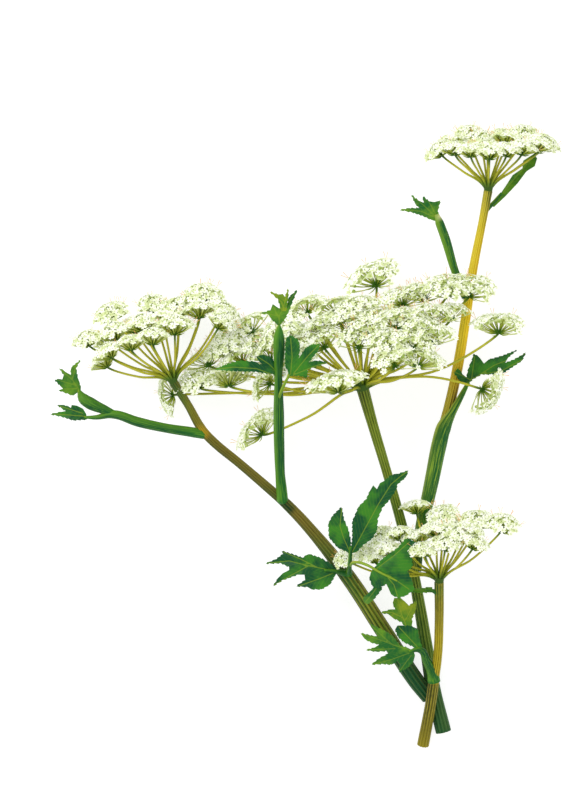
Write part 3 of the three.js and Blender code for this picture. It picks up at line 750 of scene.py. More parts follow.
# %% Cut pith material
CUT_PITH, pith_tree, pith_shader = plant_finish("cut stem pith", roughness=0.8)
pith_place = add_node(pith_tree, "ShaderNodeTexCoord", output="Object")
pith_cells = add_node(pith_tree, "ShaderNodeTexVoronoi", values={"Scale": 1800.0},
                      links={"Vector": pith_place})
pith_tint = add_node(pith_tree, "ShaderNodeValToRGB", links={"Fac": pith_cells},
                     stops=[(0.0, "#d8d49a"), (0.8, "#8d9a4a")])
pith_tree.links.new(pith_tint, pith_shader.inputs["Base Color"])
print("finish:", CUT_PITH.name)

# %% [markdown]
# ### Leaf stalks and sheaths
# A stalk is a smooth dark green, with a few lighter lengthwise veins, and its side towards the
# light is painted lighter, with a pale yellow-green painted highlight along its rim. The stem's
# material would give it ribs, so it has a quieter one of its own, which reads the same kind of map.
# A thin stalk is yellower than a sheath, a swollen sheath is veined all round, and one sheath is
# pale where it opens.

# %% Stalk material


def stalk_skin(name, root, middle, tip, vein, edge, sun=0.75, veins=20.0):
    """root, middle and tip: the colours along it; vein: its lighter lines, and the colour of the
    painted light on its lit side; edge: the painted highlight along the rim of its lit side; sun:
    how much of the veins' colour its lit side takes as painted light; veins: how close together
    they are."""
    material, tree, shader = plant_finish(name, roughness=0.5, coat=0.05)
    skin, turn, length = tube_map(tree)
    base = add_node(tree, "ShaderNodeValToRGB", links={"Fac": length},
                    stops=[(0.0, root), (0.3, middle), (0.91, middle), (0.97, tip)])
    painted_lit_side = add_node(tree, "ShaderNodeAttribute", {"attribute_name": "sun_side"}, output="Fac")
    # Painted light: the side towards the light takes the veins' paler colour.
    lit = add_node(tree, "ShaderNodeMapRange", SMOOTH,
                   {"From Min": 0.5, "From Max": 0.85, "To Max": sun}, {"Value": painted_lit_side})
    painted_lit_base = add_node(tree, "ShaderNodeMix", BLEND, {OVER: linear(vein)},
                      {FACTOR: lit, UNDER: base}, output=MIXED)
    # Veins: noise drawn out along the stalk, 0.5 to 0.7 mm wide.
    drawn = add_node(tree, "ShaderNodeMapping", values={"Scale": (veins, 7.0, 1.0)},
                     links={"Vector": skin})
    fibre = add_node(tree, "ShaderNodeTexNoise", links={"Vector": drawn},
                     values={"Scale": 1.5, "Detail": 5.0, "Roughness": 0.62, "Distortion": 0.3})
    pale = add_node(tree, "ShaderNodeMapRange", SMOOTH,
                    {"From Min": 0.5, "From Max": 0.62, "To Max": 0.75}, {"Value": fibre})
    veined = add_node(tree, "ShaderNodeMix", BLEND, {OVER: linear(vein)},
                      {FACTOR: pale, UNDER: painted_lit_base}, output=MIXED)
    # A painted highlight: a pale rim along the side towards the light.
    rim = add_node(tree, "ShaderNodeMapRange", SMOOTH,
                   {"From Min": 0.91, "From Max": 0.98, "To Max": 0.85}, {"Value": painted_lit_side})
    painted_rim_lit = add_node(tree, "ShaderNodeMix", BLEND, {OVER: linear(edge)},
                     {FACTOR: rim, UNDER: veined}, output=MIXED)
    relief = add_node(tree, "ShaderNodeBump", values={"Strength": 0.3, "Distance": 0.0005},
                      links={"Height": fibre})
    tree.links.new(painted_rim_lit, shader.inputs["Base Color"])
    tree.links.new(relief, shader.inputs["Normal"])
    return material


STALKS = {
    "sheath": stalk_skin("green sheath skin", "#1f6a20", "#0f5222", "#2f7420", "#5f9620",
                         "#a9b63a"),
    "thin": stalk_skin("yellow green stalk skin", "#3f7a20", "#6f9a24", "#8aa62c", "#9ab236",
                       "#b9bc4a"),
    "veined": stalk_skin("light veined sheath skin", "#2b6a1c", "#125a20", "#3c7c20", "#9cbc34",
                         "#a9b63a", sun=0.12, veins=34.0),
    "mouthed": stalk_skin("sheath skin with a pale mouth", "#145624", "#125a24", "#d9d79a",
                          "#76a022", "#a9b63a"),
}
print("stalk finishes:", sorted(STALKS))

# %% [markdown]
# ### Leaf blades
# A blade is thin, dark and slightly glossy above, with a pale midrib, fine side veins that run
# forward to the teeth, and lighter patches about 13 mm across. Veins could be modelled, but they
# are finer than the mesh, so they are drawn. Two attributes of the blade drive them: how far a
# point is from the nearest rib, and how far along that rib it is, both in millimetres.

# %% Blade material
VEIN_SPACING = 3.2
VEIN_SLANT = 1.2  # a side vein leaves its rib at about 40 degrees


def blade_skin(name, dark, light, vein, rib_share):
    material, tree, shader = plant_finish(name, roughness=0.5, coat=0.08)
    across = add_node(tree, "ShaderNodeAttribute", {"attribute_name": "rib_across"}, output="Fac")
    along = add_node(tree, "ShaderNodeAttribute", {"attribute_name": "rib_along"}, output="Fac")
    ground = add_node(tree, "ShaderNodeTexCoord", output="Object")
    cloud = add_node(tree, "ShaderNodeTexNoise", links={"Vector": ground},
                     values={"Scale": 75.0, "Detail": 3.0, "Roughness": 0.55})
    flesh = add_node(tree, "ShaderNodeValToRGB", links={"Fac": cloud},
                     stops=[(0.42, dark), (0.62, light)])
    slant = add_node(tree, "ShaderNodeMath", TIMES_PLUS, {1: -VEIN_SLANT}, {0: across, 2: along})
    spaced = add_node(tree, "ShaderNodeMath", TIMES, {1: 2 * math.pi / VEIN_SPACING}, {0: slant})
    ridge = add_node(tree, "ShaderNodeMath", COSINE, links={0: spaced})
    side = add_node(tree, "ShaderNodeMapRange", SMOOTH,
                    {"From Min": 0.85, "From Max": 1.0, "To Max": 0.18}, {"Value": ridge})
    # The midrib, a pale line about 0.5 mm wide with soft edges.
    rib = add_node(tree, "ShaderNodeMapRange", SMOOTH,
                   {"From Min": 0.46, "From Max": 0.1, "To Max": rib_share}, {"Value": across})
    lines = add_node(tree, "ShaderNodeMath", {"operation": "MAXIMUM"}, links={0: side, 1: rib})
    veined = add_node(tree, "ShaderNodeMix", BLEND, {OVER: linear(vein)},
                      {FACTOR: lines, UNDER: flesh}, output=MIXED)
    relief = add_node(tree, "ShaderNodeBump", {"invert": True},
                      {"Strength": 0.5, "Distance": 0.0004}, {"Height": lines})
    tree.links.new(veined, shader.inputs["Base Color"])
    tree.links.new(relief, shader.inputs["Normal"])
    return material


BLADES = {
    "deep": blade_skin("deep green leaf skin", "#085026", "#3a821e", "#7f9f28", 0.7),
    "fresh": blade_skin("fresh green leaf skin", "#1a6423", "#5f921e", "#93ae2c", 0.35),
    "lime": blade_skin("lime green leaf skin", "#4f841c", "#95a81e", "#b4bc2c", 0.35),
}
print("blade finishes:", sorted(BLADES))

# %% [markdown]
# ### Rays and pedicels
# The rays are yellow-green, with painted shade on the side away from the light, and turn dark green
# at the hub and under each head, which is partly their own colour and partly painted shade where
# the stalks crowd together. The pedicels, the stalks of single florets, start as dark and end
# nearly white, and take the same painted shade. A map along each of thousands of stalks would be
# heavy. An attribute that says how far a point is from the dark green joints does the same, and one
# material recipe serves both.

# %% Ray and pedicel materials


def ray_skin(name, tints, painted_shade, painted_shade_share):
    """tints: stops from a green joint to the middle; painted_shade: the colour painted on the side
    away from the light; painted_shade_share: how much of it.
    """
    material, tree, shader = plant_finish(name, roughness=0.6)
    reach = add_node(tree, "ShaderNodeAttribute", {"attribute_name": "green_reach"}, output="Fac")
    tint = add_node(tree, "ShaderNodeValToRGB", links={"Fac": reach}, stops=tints)
    ground = add_node(tree, "ShaderNodeTexCoord", output="Object")
    # Blotches of about 4 mm, which with the lit side decide where the painted shade falls.
    blotch = add_node(tree, "ShaderNodeTexNoise", values={"Scale": 250.0, "Detail": 3.0},
                      links={"Vector": ground})
    painted_lit_side = add_node(tree, "ShaderNodeAttribute", {"attribute_name": "sun_side"}, output="Fac")
    uneven_level = add_node(tree, "ShaderNodeMath", TIMES_PLUS, {1: 0.7}, {0: blotch, 2: painted_lit_side})
    # Painted shade: the side away from the light, unevenly, turns towards the shade colour.
    shaded = add_node(tree, "ShaderNodeMapRange", SMOOTH,
                      {"From Min": 0.95, "From Max": 0.6, "To Max": painted_shade_share}, {"Value": uneven_level})
    mixed = add_node(tree, "ShaderNodeMix", BLEND, {OVER: linear(painted_shade)},
                     {FACTOR: shaded, UNDER: tint}, output=MIXED)
    tree.links.new(mixed, shader.inputs["Base Color"])
    return material


RAY_GREEN = ray_skin(
    "yellow green ray skin",
    [(0.0, "#3d5c1a"), (0.22, "#5f7e1c"), (0.5, "#a0a626"), (1.0, "#c6c238")],
    painted_shade="#4f5a1a", painted_shade_share=0.75,
)
PEDICEL_GREEN = ray_skin(
    "pale pedicel skin",
    [(0.0, "#1f5a1c"), (0.16, "#4c7c1e"), (0.38, "#a0ae30"), (0.8, "#c0ca64"), (1.0, "#d8df9c")],
    painted_shade="#5d7822", painted_shade_share=0.5,
)
print("finishes:", RAY_GREEN.name, PEDICEL_GREEN.name)

# %% [markdown]
# ### Petals
# The petals are white with a green flush at the base, and half-open ones are greener. They are so
# thin that light comes through them. That could be subsurface scattering, but on a petal 0.2 mm
# thick a faint glow looks the same and renders fast; the glow is painted light, and it also
# lightens the petals where they lie in shade. The flush follows the floret's own map, a disc with
# its middle at 0.5, and patches of it about 4 mm across make some florets greener than others.

# %% Petal materials


def petal_tissue(name, foot, middle, tip, flush, painted_glow):
    """Petals tinted from the foot to the tip, with patches of flush."""
    material, tree, shader = plant_finish(name, roughness=0.75)
    own_map = add_node(tree, "ShaderNodeUVMap", {"uv_map": "UVMap"})
    reach = add_node(tree, "ShaderNodeVectorMath", {"operation": "DISTANCE"},
                     {1: (0.5, 0.5, 0.0)}, {0: own_map}, output="Value")
    tint = add_node(tree, "ShaderNodeValToRGB", links={"Fac": reach},
                    stops=[(0.05, foot), (0.22, middle), (0.45, tip)])
    ground = add_node(tree, "ShaderNodeTexCoord", output="Object")
    patch = add_node(tree, "ShaderNodeTexNoise", links={"Vector": ground},
                     values={"Scale": 230.0, "Detail": 3.0, "Roughness": 0.55})
    share = add_node(tree, "ShaderNodeMapRange", SMOOTH,
                     {"From Min": 0.47, "From Max": 0.6, "To Max": 0.9}, {"Value": patch})
    mixed = add_node(tree, "ShaderNodeMix", DARKEN, {OVER: linear(flush)},
                     {FACTOR: share, UNDER: tint}, output=MIXED)
    tree.links.new(mixed, shader.inputs["Base Color"])
    # Painted light: a faint even glow in the tip colour.
    shader.inputs["Emission Color"].default_value = linear(tip)
    shader.inputs["Emission Strength"].default_value = painted_glow
    return material


PETAL_WHITE = petal_tissue("white petal tissue", "#c2d080", "#f2f5de", "#f8faf0", "#d0db92",
                           painted_glow=0.17)
PETAL_FLUSHED = petal_tissue("green flushed petal tissue", "#a3b856", "#bfcd80", "#dfe8bc",
                             "#c3d07e", painted_glow=0.08)
print("finishes:", PETAL_WHITE.name, PETAL_FLUSHED.name)

# %% [markdown]
# ### Eyes, buds and filaments
# The eye of a floret is a moist yellow-green cushion, a bud is a pale green bead, and a filament
# is a pale orange thread. Each is too small to show a pattern of its own, so two close tints in
# patches of about 2 mm make one floret a little unlike the next.

# %% Eye, bud and filament materials


def speckled_skin(name, dark, light, painted_glow):
    """Soft small parts in two tints, with a faint painted glow that stands in for the light coming
    through them.
    """
    material, tree, shader = plant_finish(name, roughness=0.6)
    ground = add_node(tree, "ShaderNodeTexCoord", output="Object")
    patch = add_node(tree, "ShaderNodeTexNoise", values={"Scale": 500.0, "Detail": 2.0},
                     links={"Vector": ground})
    tint = add_node(tree, "ShaderNodeValToRGB", links={"Fac": patch},
                    stops=[(0.4, dark), (0.6, light)])
    tree.links.new(tint, shader.inputs["Base Color"])
    # Painted light: a faint glow, as if light came through the part.
    shader.inputs["Emission Color"].default_value = linear(light)
    shader.inputs["Emission Strength"].default_value = painted_glow
    return material


EYE_GREEN = speckled_skin("green floret eye", "#c3d088", "#e6eccb", painted_glow=0.03)
BUD_GREEN = speckled_skin("pale green bud", "#93ac44", "#c9d68a", painted_glow=0.02)
FILAMENT_ORANGE = speckled_skin("pale orange filament", "#d99a50", "#ecc48c", painted_glow=0.12)
print("finishes:", EYE_GREEN.name, BUD_GREEN.name, FILAMENT_ORANGE.name)

# %% [markdown]
# ## Shaping helpers
# The frame's own objects stay selected after loading, and an operator acts on all that is
# selected, so every step starts by clearing the selection. Faces, edges and points could be picked
# by their numbers, but a test of their place goes on working when a size is changed.

# %% Selecting, joining and marking
SMOOTH_ANGLE = math.radians(60)


def clear_selection():
    if bpy.context.mode != "OBJECT":
        bpy.ops.object.mode_set(mode="OBJECT")
    for thing in bpy.context.selected_objects:
        thing.select_set(False)


def make_active(piece):
    clear_selection()
    piece.select_set(True)
    bpy.context.view_layer.objects.active = piece


def pick(piece, kind, test):
    """Goes into edit mode with only those points, edges or faces selected that pass the test."""
    bpy.ops.object.mode_set(mode="OBJECT")
    mesh = piece.data
    for parts in (mesh.vertices, mesh.edges, mesh.polygons):
        parts.foreach_set("select", [False] * len(parts))
    modes = ("vertices", "edges", "polygons")
    bpy.context.tool_settings.mesh_select_mode = [mode == kind for mode in modes]
    for part in getattr(mesh, kind):
        part.select = test(part)
    bpy.ops.object.mode_set(mode="EDIT")


def finish_smooth(piece):
    make_active(piece)
    bpy.ops.object.shade_smooth_by_angle(angle=SMOOTH_ANGLE)


def join_pieces(pieces, name):
    """Joins meshes into one object at the origin."""
    make_active(pieces[0])
    for piece in pieces:
        piece.select_set(True)
    bpy.ops.object.join()
    joined = bpy.context.object
    joined.name = name
    joined.data.name = name
    return joined


def copy_at(source, matrix):
    """A copy with its own mesh, moved there in its mesh."""
    copy = source.copy()
    copy.data = source.data.copy()
    copy.data.transform(matrix)
    bpy.context.scene.collection.objects.link(copy)
    return copy


def lay_line(curve, points):
    """Adds a smooth line to a curve, through points that are each a place and a radius in mm."""
    spline = curve.splines.new("BEZIER")
    spline.bezier_points.add(len(points) - 1)
    for point, (spot, radius) in zip(spline.bezier_points, points):
        point.co = spot
        point.radius = radius
        point.handle_left_type = "AUTO"
        point.handle_right_type = "AUTO"


def set_painted_light_side(piece, sun):
    """Stores 1 on the side that the materials paint lit and 0 on the side that they paint shaded.
    """
    to_painted_light = Vector(sun).normalized()
    painted_lit_side = piece.data.attributes.new("sun_side", "FLOAT", "POINT")
    painted_lit_side.data.foreach_set("value", [0.5 + 0.5 * v.normal.dot(to_painted_light) for v in piece.data.vertices])


def clamp(value):
    return min(1.0, max(0.0, value))


print("helpers ready")

# %% [markdown]
# ### A tube along a route
# A stem could be lofted from rings, or swept as a curve. Here it is turned as a straight ribbed
# rod with its own map and then bent by a Curve modifier, because the modifier also takes the
# radius at each point of the route, and the map stays straight along the stem.

# %% Tube along a route
SIDES_PER_RIB = 4
FEWEST_RINGS, MOST_RINGS = 3, 99  # Subdivide takes at most 100 cuts


def spine_through(name, route):
    """A smooth curve through the route's points, which carries their radii."""
    data = bpy.data.curves.new(name, "CURVE")
    data.dimensions = "3D"
    data.resolution_u = 12
    data.twist_mode = "MINIMUM"
    data.use_radius = True
    data.use_stretch = True
    data.use_deform_bounds = True
    lay_line(data, [(place(x, y, z), radius) for x, y, z, radius in route])
    spine = bpy.data.objects.new(name, data)
    bpy.context.scene.collection.objects.link(spine)
    return spine


def route_length(route):
    return sum((Vector(b[:3]) - Vector(a[:3])).length for a, b in zip(route, route[1:]))


def tube(name, route, material, ribs, groove, ring_spacing, sun):
    """A closed ribbed tube with its ends in material slot 1; groove: how deep its grooves are, as a
    share of its radius; ring_spacing in mm; sun: the way to the side that its colours paint lit."""
    spine = spine_through(name + "_spine", route)
    length = route_length(route)
    clear_selection()
    bpy.ops.mesh.primitive_cylinder_add(
        vertices=SIDES_PER_RIB * ribs, radius=MM, depth=length * MM, end_fill_type="NGON"
    )
    piece = bpy.context.object
    piece.name = name
    piece.data.name = name
    piece.data.materials.append(material)
    piece.data.materials.append(CUT_PITH)
    for face in piece.data.polygons:
        face.material_index = 1 if abs(face.normal.z) > 0.9 else 0
    # A groove lies half way between two ribs, where this wave is at its lowest.
    pick(piece, "vertices", lambda v: math.cos(ribs * math.atan2(v.co.y, v.co.x)) < -0.9)
    bpy.ops.transform.resize(value=(1 - groove, 1 - groove, 1))
    heights = [v.co.z for v in piece.data.vertices]
    upright = [heights[e.vertices[0]] != heights[e.vertices[1]] for e in piece.data.edges]
    pick(piece, "edges", lambda e: upright[e.index])
    rings = min(MOST_RINGS, max(FEWEST_RINGS, round(length / ring_spacing)))
    bpy.ops.mesh.subdivide(number_cuts=rings)
    bpy.ops.object.mode_set(mode="OBJECT")
    bend = piece.modifiers.new("follow the route", "CURVE")
    bend.object = spine
    bend.deform_axis = "POS_Z"
    bpy.ops.object.modifier_apply(modifier=bend.name)
    bpy.data.objects.remove(spine)
    set_painted_light_side(piece, sun)
    finish_smooth(piece)
    return piece


print("tube of the main stem would be", round(route_length(MAIN_STEM)), "mm long")

# %% [markdown]
# ## The stems
# Four stems come together low down: the thick one in the middle, its two branches, and one in
# front with a foot of its own. They could be one branching body, but each has its own colour and
# its own solid in the frame, so each is a tube over its own route, and the feet of the two
# branches are partly sunk in the thick stem.

# %% Stems
RING_SPACING = 2.5
GROOVE_DEPTH = 0.12
# The last entry of each stem is the way to its painted light.
stem_plan = [
    ("ribbed_main_stem", "main_stem", MAIN_STEM, MAIN_SKIN, "olive_stem", (0.4, 0.3, 0.85)),
    ("ribbed_left_stem", "left_stem", LEFT_STEM, LEFT_SKIN, "brown_stem", (0.6, 0.6, 0.5)),
    ("golden_tall_stem", "tall_stem", TALL_STEM, TALL_SKIN, "golden_stem", (-0.5, 0.1, 0.85)),
    ("ochre_front_stem", "front_stem", FRONT_STEM, FRONT_SKIN, "ochre_stem", (0.5, 0.3, 0.8)),
]
for name, node, route, skin, slot, sun in stem_plan:
    stem = tube(name, route, skin, STEM_RIBS, GROOVE_DEPTH, RING_SPACING, sun)
    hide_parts(node)
    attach(stem, "root")
    print(name, len(stem.data.polygons), "faces")

# %% [markdown]
# ## Leaf blades
# A leaflet is thin, toothed, folded a little along its ribs and quilted between its side veins. It
# could be drawn point by point in space. It is easier to fill its flat outline as one face, cut
# that into a fine grid with bisecting planes so that it can bend, and then fold, arch and thicken
# it.

# %% Blade builder: sizes in millimetres
BLADE_THICKNESS = 0.5
BLADE_GRID = 1.5
SHORT_EDGE = 4.5  # the outline has its large teeth already, so small ones go on longer edges
TOOTH_SPACING = 2.6
TOOTH_TIP = (0.62, 0.42)  # share of the way along the tooth, and distance out from the edge
TOOTH_BACK = (0.74, -0.18)
FOLD_HEIGHT, FOLD_WIDTH = 0.9, 3.5
QUILT_DEPTH, QUILT_START = 0.04, 2.0


def serrated(outline):
    """The outline with small forward teeth on every long edge."""
    points = []
    for (ax, ay), (bx, by) in zip(outline, outline[1:] + outline[:1]):
        points.append((ax, ay))
        edge = Vector((bx - ax, by - ay))
        if edge.length > SHORT_EDGE:
            out = Vector((edge.y, -edge.x)).normalized()
            teeth = int(edge.length / TOOTH_SPACING)
            for tooth in range(teeth):
                for gone, far in (TOOTH_TIP, TOOTH_BACK):
                    point = Vector((ax, ay)) + edge * ((tooth + gone) / teeth) + out * far
                    points.append(tuple(point))
    return points


def turned_outward(outline):
    """The outline in the order that has its inside on the left."""
    area = sum(a[0] * b[1] - b[0] * a[1] for a, b in zip(outline, outline[1:] + outline[:1]))
    return outline if area > 0 else outline[::-1]


def share_along(x, y, start, run):
    """How far the point is along a run from its start, as a share from 0 to 1."""
    return clamp(((x - start[0]) * run.x + (y - start[1]) * run.y) / run.length_squared)


def nearest_rib(x, y, ribs):
    """Distance to the nearest rib, and how far along it, in millimetres."""
    best = (math.inf, 0.0)
    for rib in ribs:
        gone = 0.0
        for start, end in zip(rib, rib[1:]):
            run = Vector((end[0] - start[0], end[1] - start[1]))
            share = share_along(x, y, start, run)
            gap = (Vector((x, y)) - Vector(start) - run * share).length
            if gap < best[0]:
                best = (gap, gone + share * run.length)
            gone += run.length
    return best


def cut(spot, way):
    """Cuts the whole leaflet along the plane through the spot that faces that way."""
    bpy.ops.mesh.select_all(action="SELECT")
    bpy.ops.mesh.bisect(plane_co=spot, plane_no=way)


def flat_blade(name, plan):
    """The filled outline, cut along a grid, and along its ribs so that a vein is a clean crease."""
    outline = turned_outward(plan["outline"])
    if plan.get("edge") != "smooth":
        outline = serrated(outline)
    mesh = bpy.data.meshes.new(name)
    mesh.from_pydata([(x, y, 0) for x, y in outline], [], [range(len(outline))])
    piece = bpy.data.objects.new(name, mesh)
    bpy.context.scene.collection.objects.link(piece)
    make_active(piece)
    mesh.materials.append(BLADES[plan["tone"]])
    bpy.ops.object.mode_set(mode="EDIT")
    for axis, way in enumerate((Vector((1, 0, 0)), Vector((0, 1, 0)))):
        low = min(point[axis] for point in outline)
        high = max(point[axis] for point in outline)
        for i in range(1, int((high - low) / BLADE_GRID)):
            cut(way * (low + i * BLADE_GRID), way)
    for rib in plan["ribs"]:
        for (ax, ay), (bx, by) in zip(rib, rib[1:]):
            cut((ax, ay, 0), Vector((by - ay, ax - bx, 0)).normalized())
    bpy.ops.mesh.select_all(action="SELECT")
    bpy.ops.mesh.quads_convert_to_tris()
    bpy.ops.object.mode_set(mode="OBJECT")
    return piece


def blade(name, plan):
    """A leaflet in its place, with its two rib attributes."""
    piece = flat_blade(name, plan)
    start, end = plan["ends"]
    run = Vector((end[0] - start[0], end[1] - start[1]))
    across = piece.data.attributes.new("rib_across", "FLOAT", "POINT")
    along = piece.data.attributes.new("rib_along", "FLOAT", "POINT")
    for vertex in piece.data.vertices:
        x, y = vertex.co.x, vertex.co.y
        gap, gone = nearest_rib(x, y, plan["ribs"])
        across.data[vertex.index].value = gap
        along.data[vertex.index].value = gone
        t = share_along(x, y, start, run)
        height = start[2] + (end[2] - start[2]) * t + 4 * plan["arch"] * t * (1 - t)
        fold = FOLD_HEIGHT * (1 - math.exp(-gap / FOLD_WIDTH))
        wave = math.cos(2 * math.pi * (gone - VEIN_SLANT * gap) / VEIN_SPACING)
        quilt = QUILT_DEPTH * wave * min(1.0, gap / QUILT_START)
        vertex.co = place(x, y, height + BLADE_THICKNESS + fold - quilt)
    thicken = piece.modifiers.new("leaf thickness", "SOLIDIFY")
    thicken.thickness = BLADE_THICKNESS * MM
    thicken.offset = -1
    bpy.ops.object.modifier_apply(modifier=thicken.name)
    finish_smooth(piece)
    return piece


square = [(0, 0), (9, 0), (9, 9), (0, 9)]
print("an outline of", len(square), "points gets", len(serrated(square)), "with its small teeth")

# %% [markdown]
# ## The leaves
# A leaf's sheath is its stalk, swollen where it clasps the stem, so both are one tube with faint
# ribs. The blades could be separate pieces, but a leaf is one solid in the frame, so its stalks
# and blades are joined into one piece.

# %% Leaves
STALK_RIBS = 5
STALK_GROOVE = 0.05
STALK_RING_SPACING = 2.0
# The way to the stalks' painted light.
STALK_PAINTED_LIGHT = (-0.75, 0.6, 0.3)
THIN_STALK = 1.1  # mm radius


def stalk_finish(plan, route):
    thin = max(radius for x, y, z, radius in route) < THIN_STALK
    return STALKS["thin" if thin else plan.get("finish", "sheath")]


for plan in LEAVES:
    parts = [
        tube(f"{plan['name']}_stalk_{i}", route, stalk_finish(plan, route), STALK_RIBS,
             STALK_GROOVE, STALK_RING_SPACING, STALK_PAINTED_LIGHT)
        for i, route in enumerate(plan["stalks"])
    ]
    for part in parts:
        part.data.materials.pop(index=1)
    parts += [blade(f"{plan['name']}_blade_{i}", b) for i, b in enumerate(plan["blades"])]
    leaf = join_pieces(parts, plan["name"])
    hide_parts(plan["node"])
    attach(leaf, "root")
    print(plan["name"], len(leaf.data.polygons), "faces")

# %% [markdown]
# ## The floret
# A floret has five petals, each notched at its tip, a green cushion in the middle and, in florets
# that have just opened, a few thin stamens. Each petal could be a shape of its own, but the plant
# has thousands of florets, so the five are one disc of few faces, whose rim is pulled in between
# the petals and at their notches and lifted into a cup. Half-open florets and buds, which stand
# lower, are simpler still. Each kind is modelled once and copied.

# %% One floret: sizes in millimetres
PETALS = 5
FLORET_RADIUS = 2.0
CUP_LIFT = 0.45
PETAL_THICKNESS = 0.18
EYE_FOOT, EYE_TOP, EYE_HEIGHT = 0.36, 0.16, 0.5
FILAMENT_FOOT, ANTHER, STAMEN_LENGTH = 0.07, 0.15, 3.4
STAMEN_APART, STAMEN_LEAN = math.radians(150), math.radians(16)
BUD_RADIUS = 0.85


def petal_star(rim_points, notch, gap, skin):
    """Petals cut from a disc: rim_points a petal, its tip notched and its foot drawn in by gap."""
    clear_selection()
    bpy.ops.mesh.primitive_circle_add(
        vertices=PETALS * rim_points, radius=FLORET_RADIUS * MM, fill_type="TRIFAN"
    )
    star = bpy.context.object
    turn = 2 * math.pi / (PETALS * rim_points)
    step = [round(math.atan2(v.co.y, v.co.x) / turn) % rim_points for v in star.data.vertices]
    rim = [v.co.length > 0.5 * FLORET_RADIUS * MM for v in star.data.vertices]
    pick(star, "vertices", lambda v: rim[v.index] and step[v.index] == 0)
    bpy.ops.transform.resize(value=(gap, gap, 1))
    pick(star, "vertices", lambda v: rim[v.index] and 2 * step[v.index] == rim_points)
    bpy.ops.transform.resize(value=(notch, notch, 1))
    pick(star, "vertices", lambda v: rim[v.index] and step[v.index] != 0)
    bpy.ops.transform.translate(value=(0, 0, CUP_LIFT * MM))
    bpy.ops.object.mode_set(mode="OBJECT")
    thicken = star.modifiers.new("petal thickness", "SOLIDIFY")
    thicken.thickness = PETAL_THICKNESS * MM
    bpy.ops.object.modifier_apply(modifier=thicken.name)
    star.data.materials.append(skin)
    return star


def standing_cone(sides, foot, top, height, skin):
    """A cone cut off at the top, which stands on the origin."""
    clear_selection()
    bpy.ops.mesh.primitive_cone_add(
        vertices=sides, radius1=foot * MM, radius2=top * MM, depth=height * MM,
        location=(0, 0, 0.5 * height * MM),
    )
    cone = bpy.context.object
    bpy.ops.object.transform_apply(location=True)
    cone.data.materials.append(skin)
    return cone


def floret_eye():
    return standing_cone(5, EYE_FOOT, EYE_TOP, EYE_HEIGHT, EYE_GREEN)


def floret_stamens():
    """Two filaments that stand out between the petals, a little thicker at the anther."""
    lean = Matrix.Rotation(STAMEN_LEAN, 4, "Y")
    stamens = []
    for i in range(2):
        stamen = standing_cone(3, FILAMENT_FOOT, ANTHER, STAMEN_LENGTH, FILAMENT_ORANGE)
        stamen.data.transform(Matrix.Rotation(STAMEN_APART * i, 4, "Z") @ lean)
        stamens.append(stamen)
    return stamens


def floret_bud():
    clear_selection()
    bpy.ops.mesh.primitive_ico_sphere_add(subdivisions=1, radius=BUD_RADIUS * MM)
    bud = bpy.context.object
    bud.data.materials.append(BUD_GREEN)
    return bud


OPEN_PETALS = {"rim_points": 4, "notch": 0.84, "gap": 0.46, "skin": PETAL_WHITE}
HALF_OPEN_PETALS = {"rim_points": 2, "notch": 1.0, "gap": 0.45, "skin": PETAL_FLUSHED}
plain_floret = join_pieces([petal_star(**OPEN_PETALS), floret_eye()], "plain_floret")
open_floret = join_pieces(
    [petal_star(**OPEN_PETALS), floret_eye(), *floret_stamens()], "open_floret"
)
half_open_floret = join_pieces([petal_star(**HALF_OPEN_PETALS)], "half_open_floret")
bud = join_pieces([floret_bud()], "bud")
FLORET_KINDS = (plain_floret, open_floret, half_open_floret, bud)
print("faces:", [(kind.name, len(kind.data.polygons)) for kind in FLORET_KINDS])

# %% [markdown]
# ## The umbellet
# Florets stand on their own thin pedicels, all from the tip of one ray, on a shallow dome, with
# half-open florets and buds between them a little lower down. They could be strewn at random, but
# in nature they follow the golden turn, so they do here. An open umbellet is broad, a round one is
# a small dense dome, and a flat one is the smallest. Each habit has three forms, so that they
# don't look alike, and two of the open ones have a gap on the side of the onlooker, -Y here, where
# the green pedicels show.

# %% Umbellets: lengths in millimetres, gaps in radians to each side
FORMS = 3
GOLDEN_TURN = math.pi * (3 - math.sqrt(5))
BRACTEOLES = 7
# The dark green under a head is partly the joints' own colour and partly painted shade under the
# florets.
GREEN_TIP = (1.0, 9.0)  # how far the dark green under a head reaches, and how softly it ends
# depth: how high the dome stands, and drop: the share of it by which its rim hangs lower; lean: how
# far the outer florets face outwards; fillers: half-open florets and buds; size: a floret's scale;
# stalk: a pedicel's radius.
HABITS = {
    "open": {
        "radius": 16.0, "depth": 9.5, "drop": 0.42, "lean": 0.9, "florets": 40, "fillers": 40,
        "size": 1.24, "stalk": 0.32, "gaps": (0.0, 0.8, 1.2),
    },
    "round": {
        "radius": 11.3, "depth": 10.5, "drop": 0.52, "lean": 1.2, "florets": 40, "fillers": 40,
        "size": 1.1, "stalk": 0.42, "gaps": (0.0, 0.0, 0.0),
    },
    "flat": {
        "radius": 9.6, "depth": 7.6, "drop": 0.45, "lean": 1.05, "florets": 34, "fillers": 32,
        "size": 1.05, "stalk": 0.38, "gaps": (0.0, 0.0, 0.0),
    },
}


def in_gap(plan, form, share, way):
    """True on the side of the onlooker, in a form that is open there."""
    return share > 0.25 and way.y < -math.cos(plan["gaps"][form])


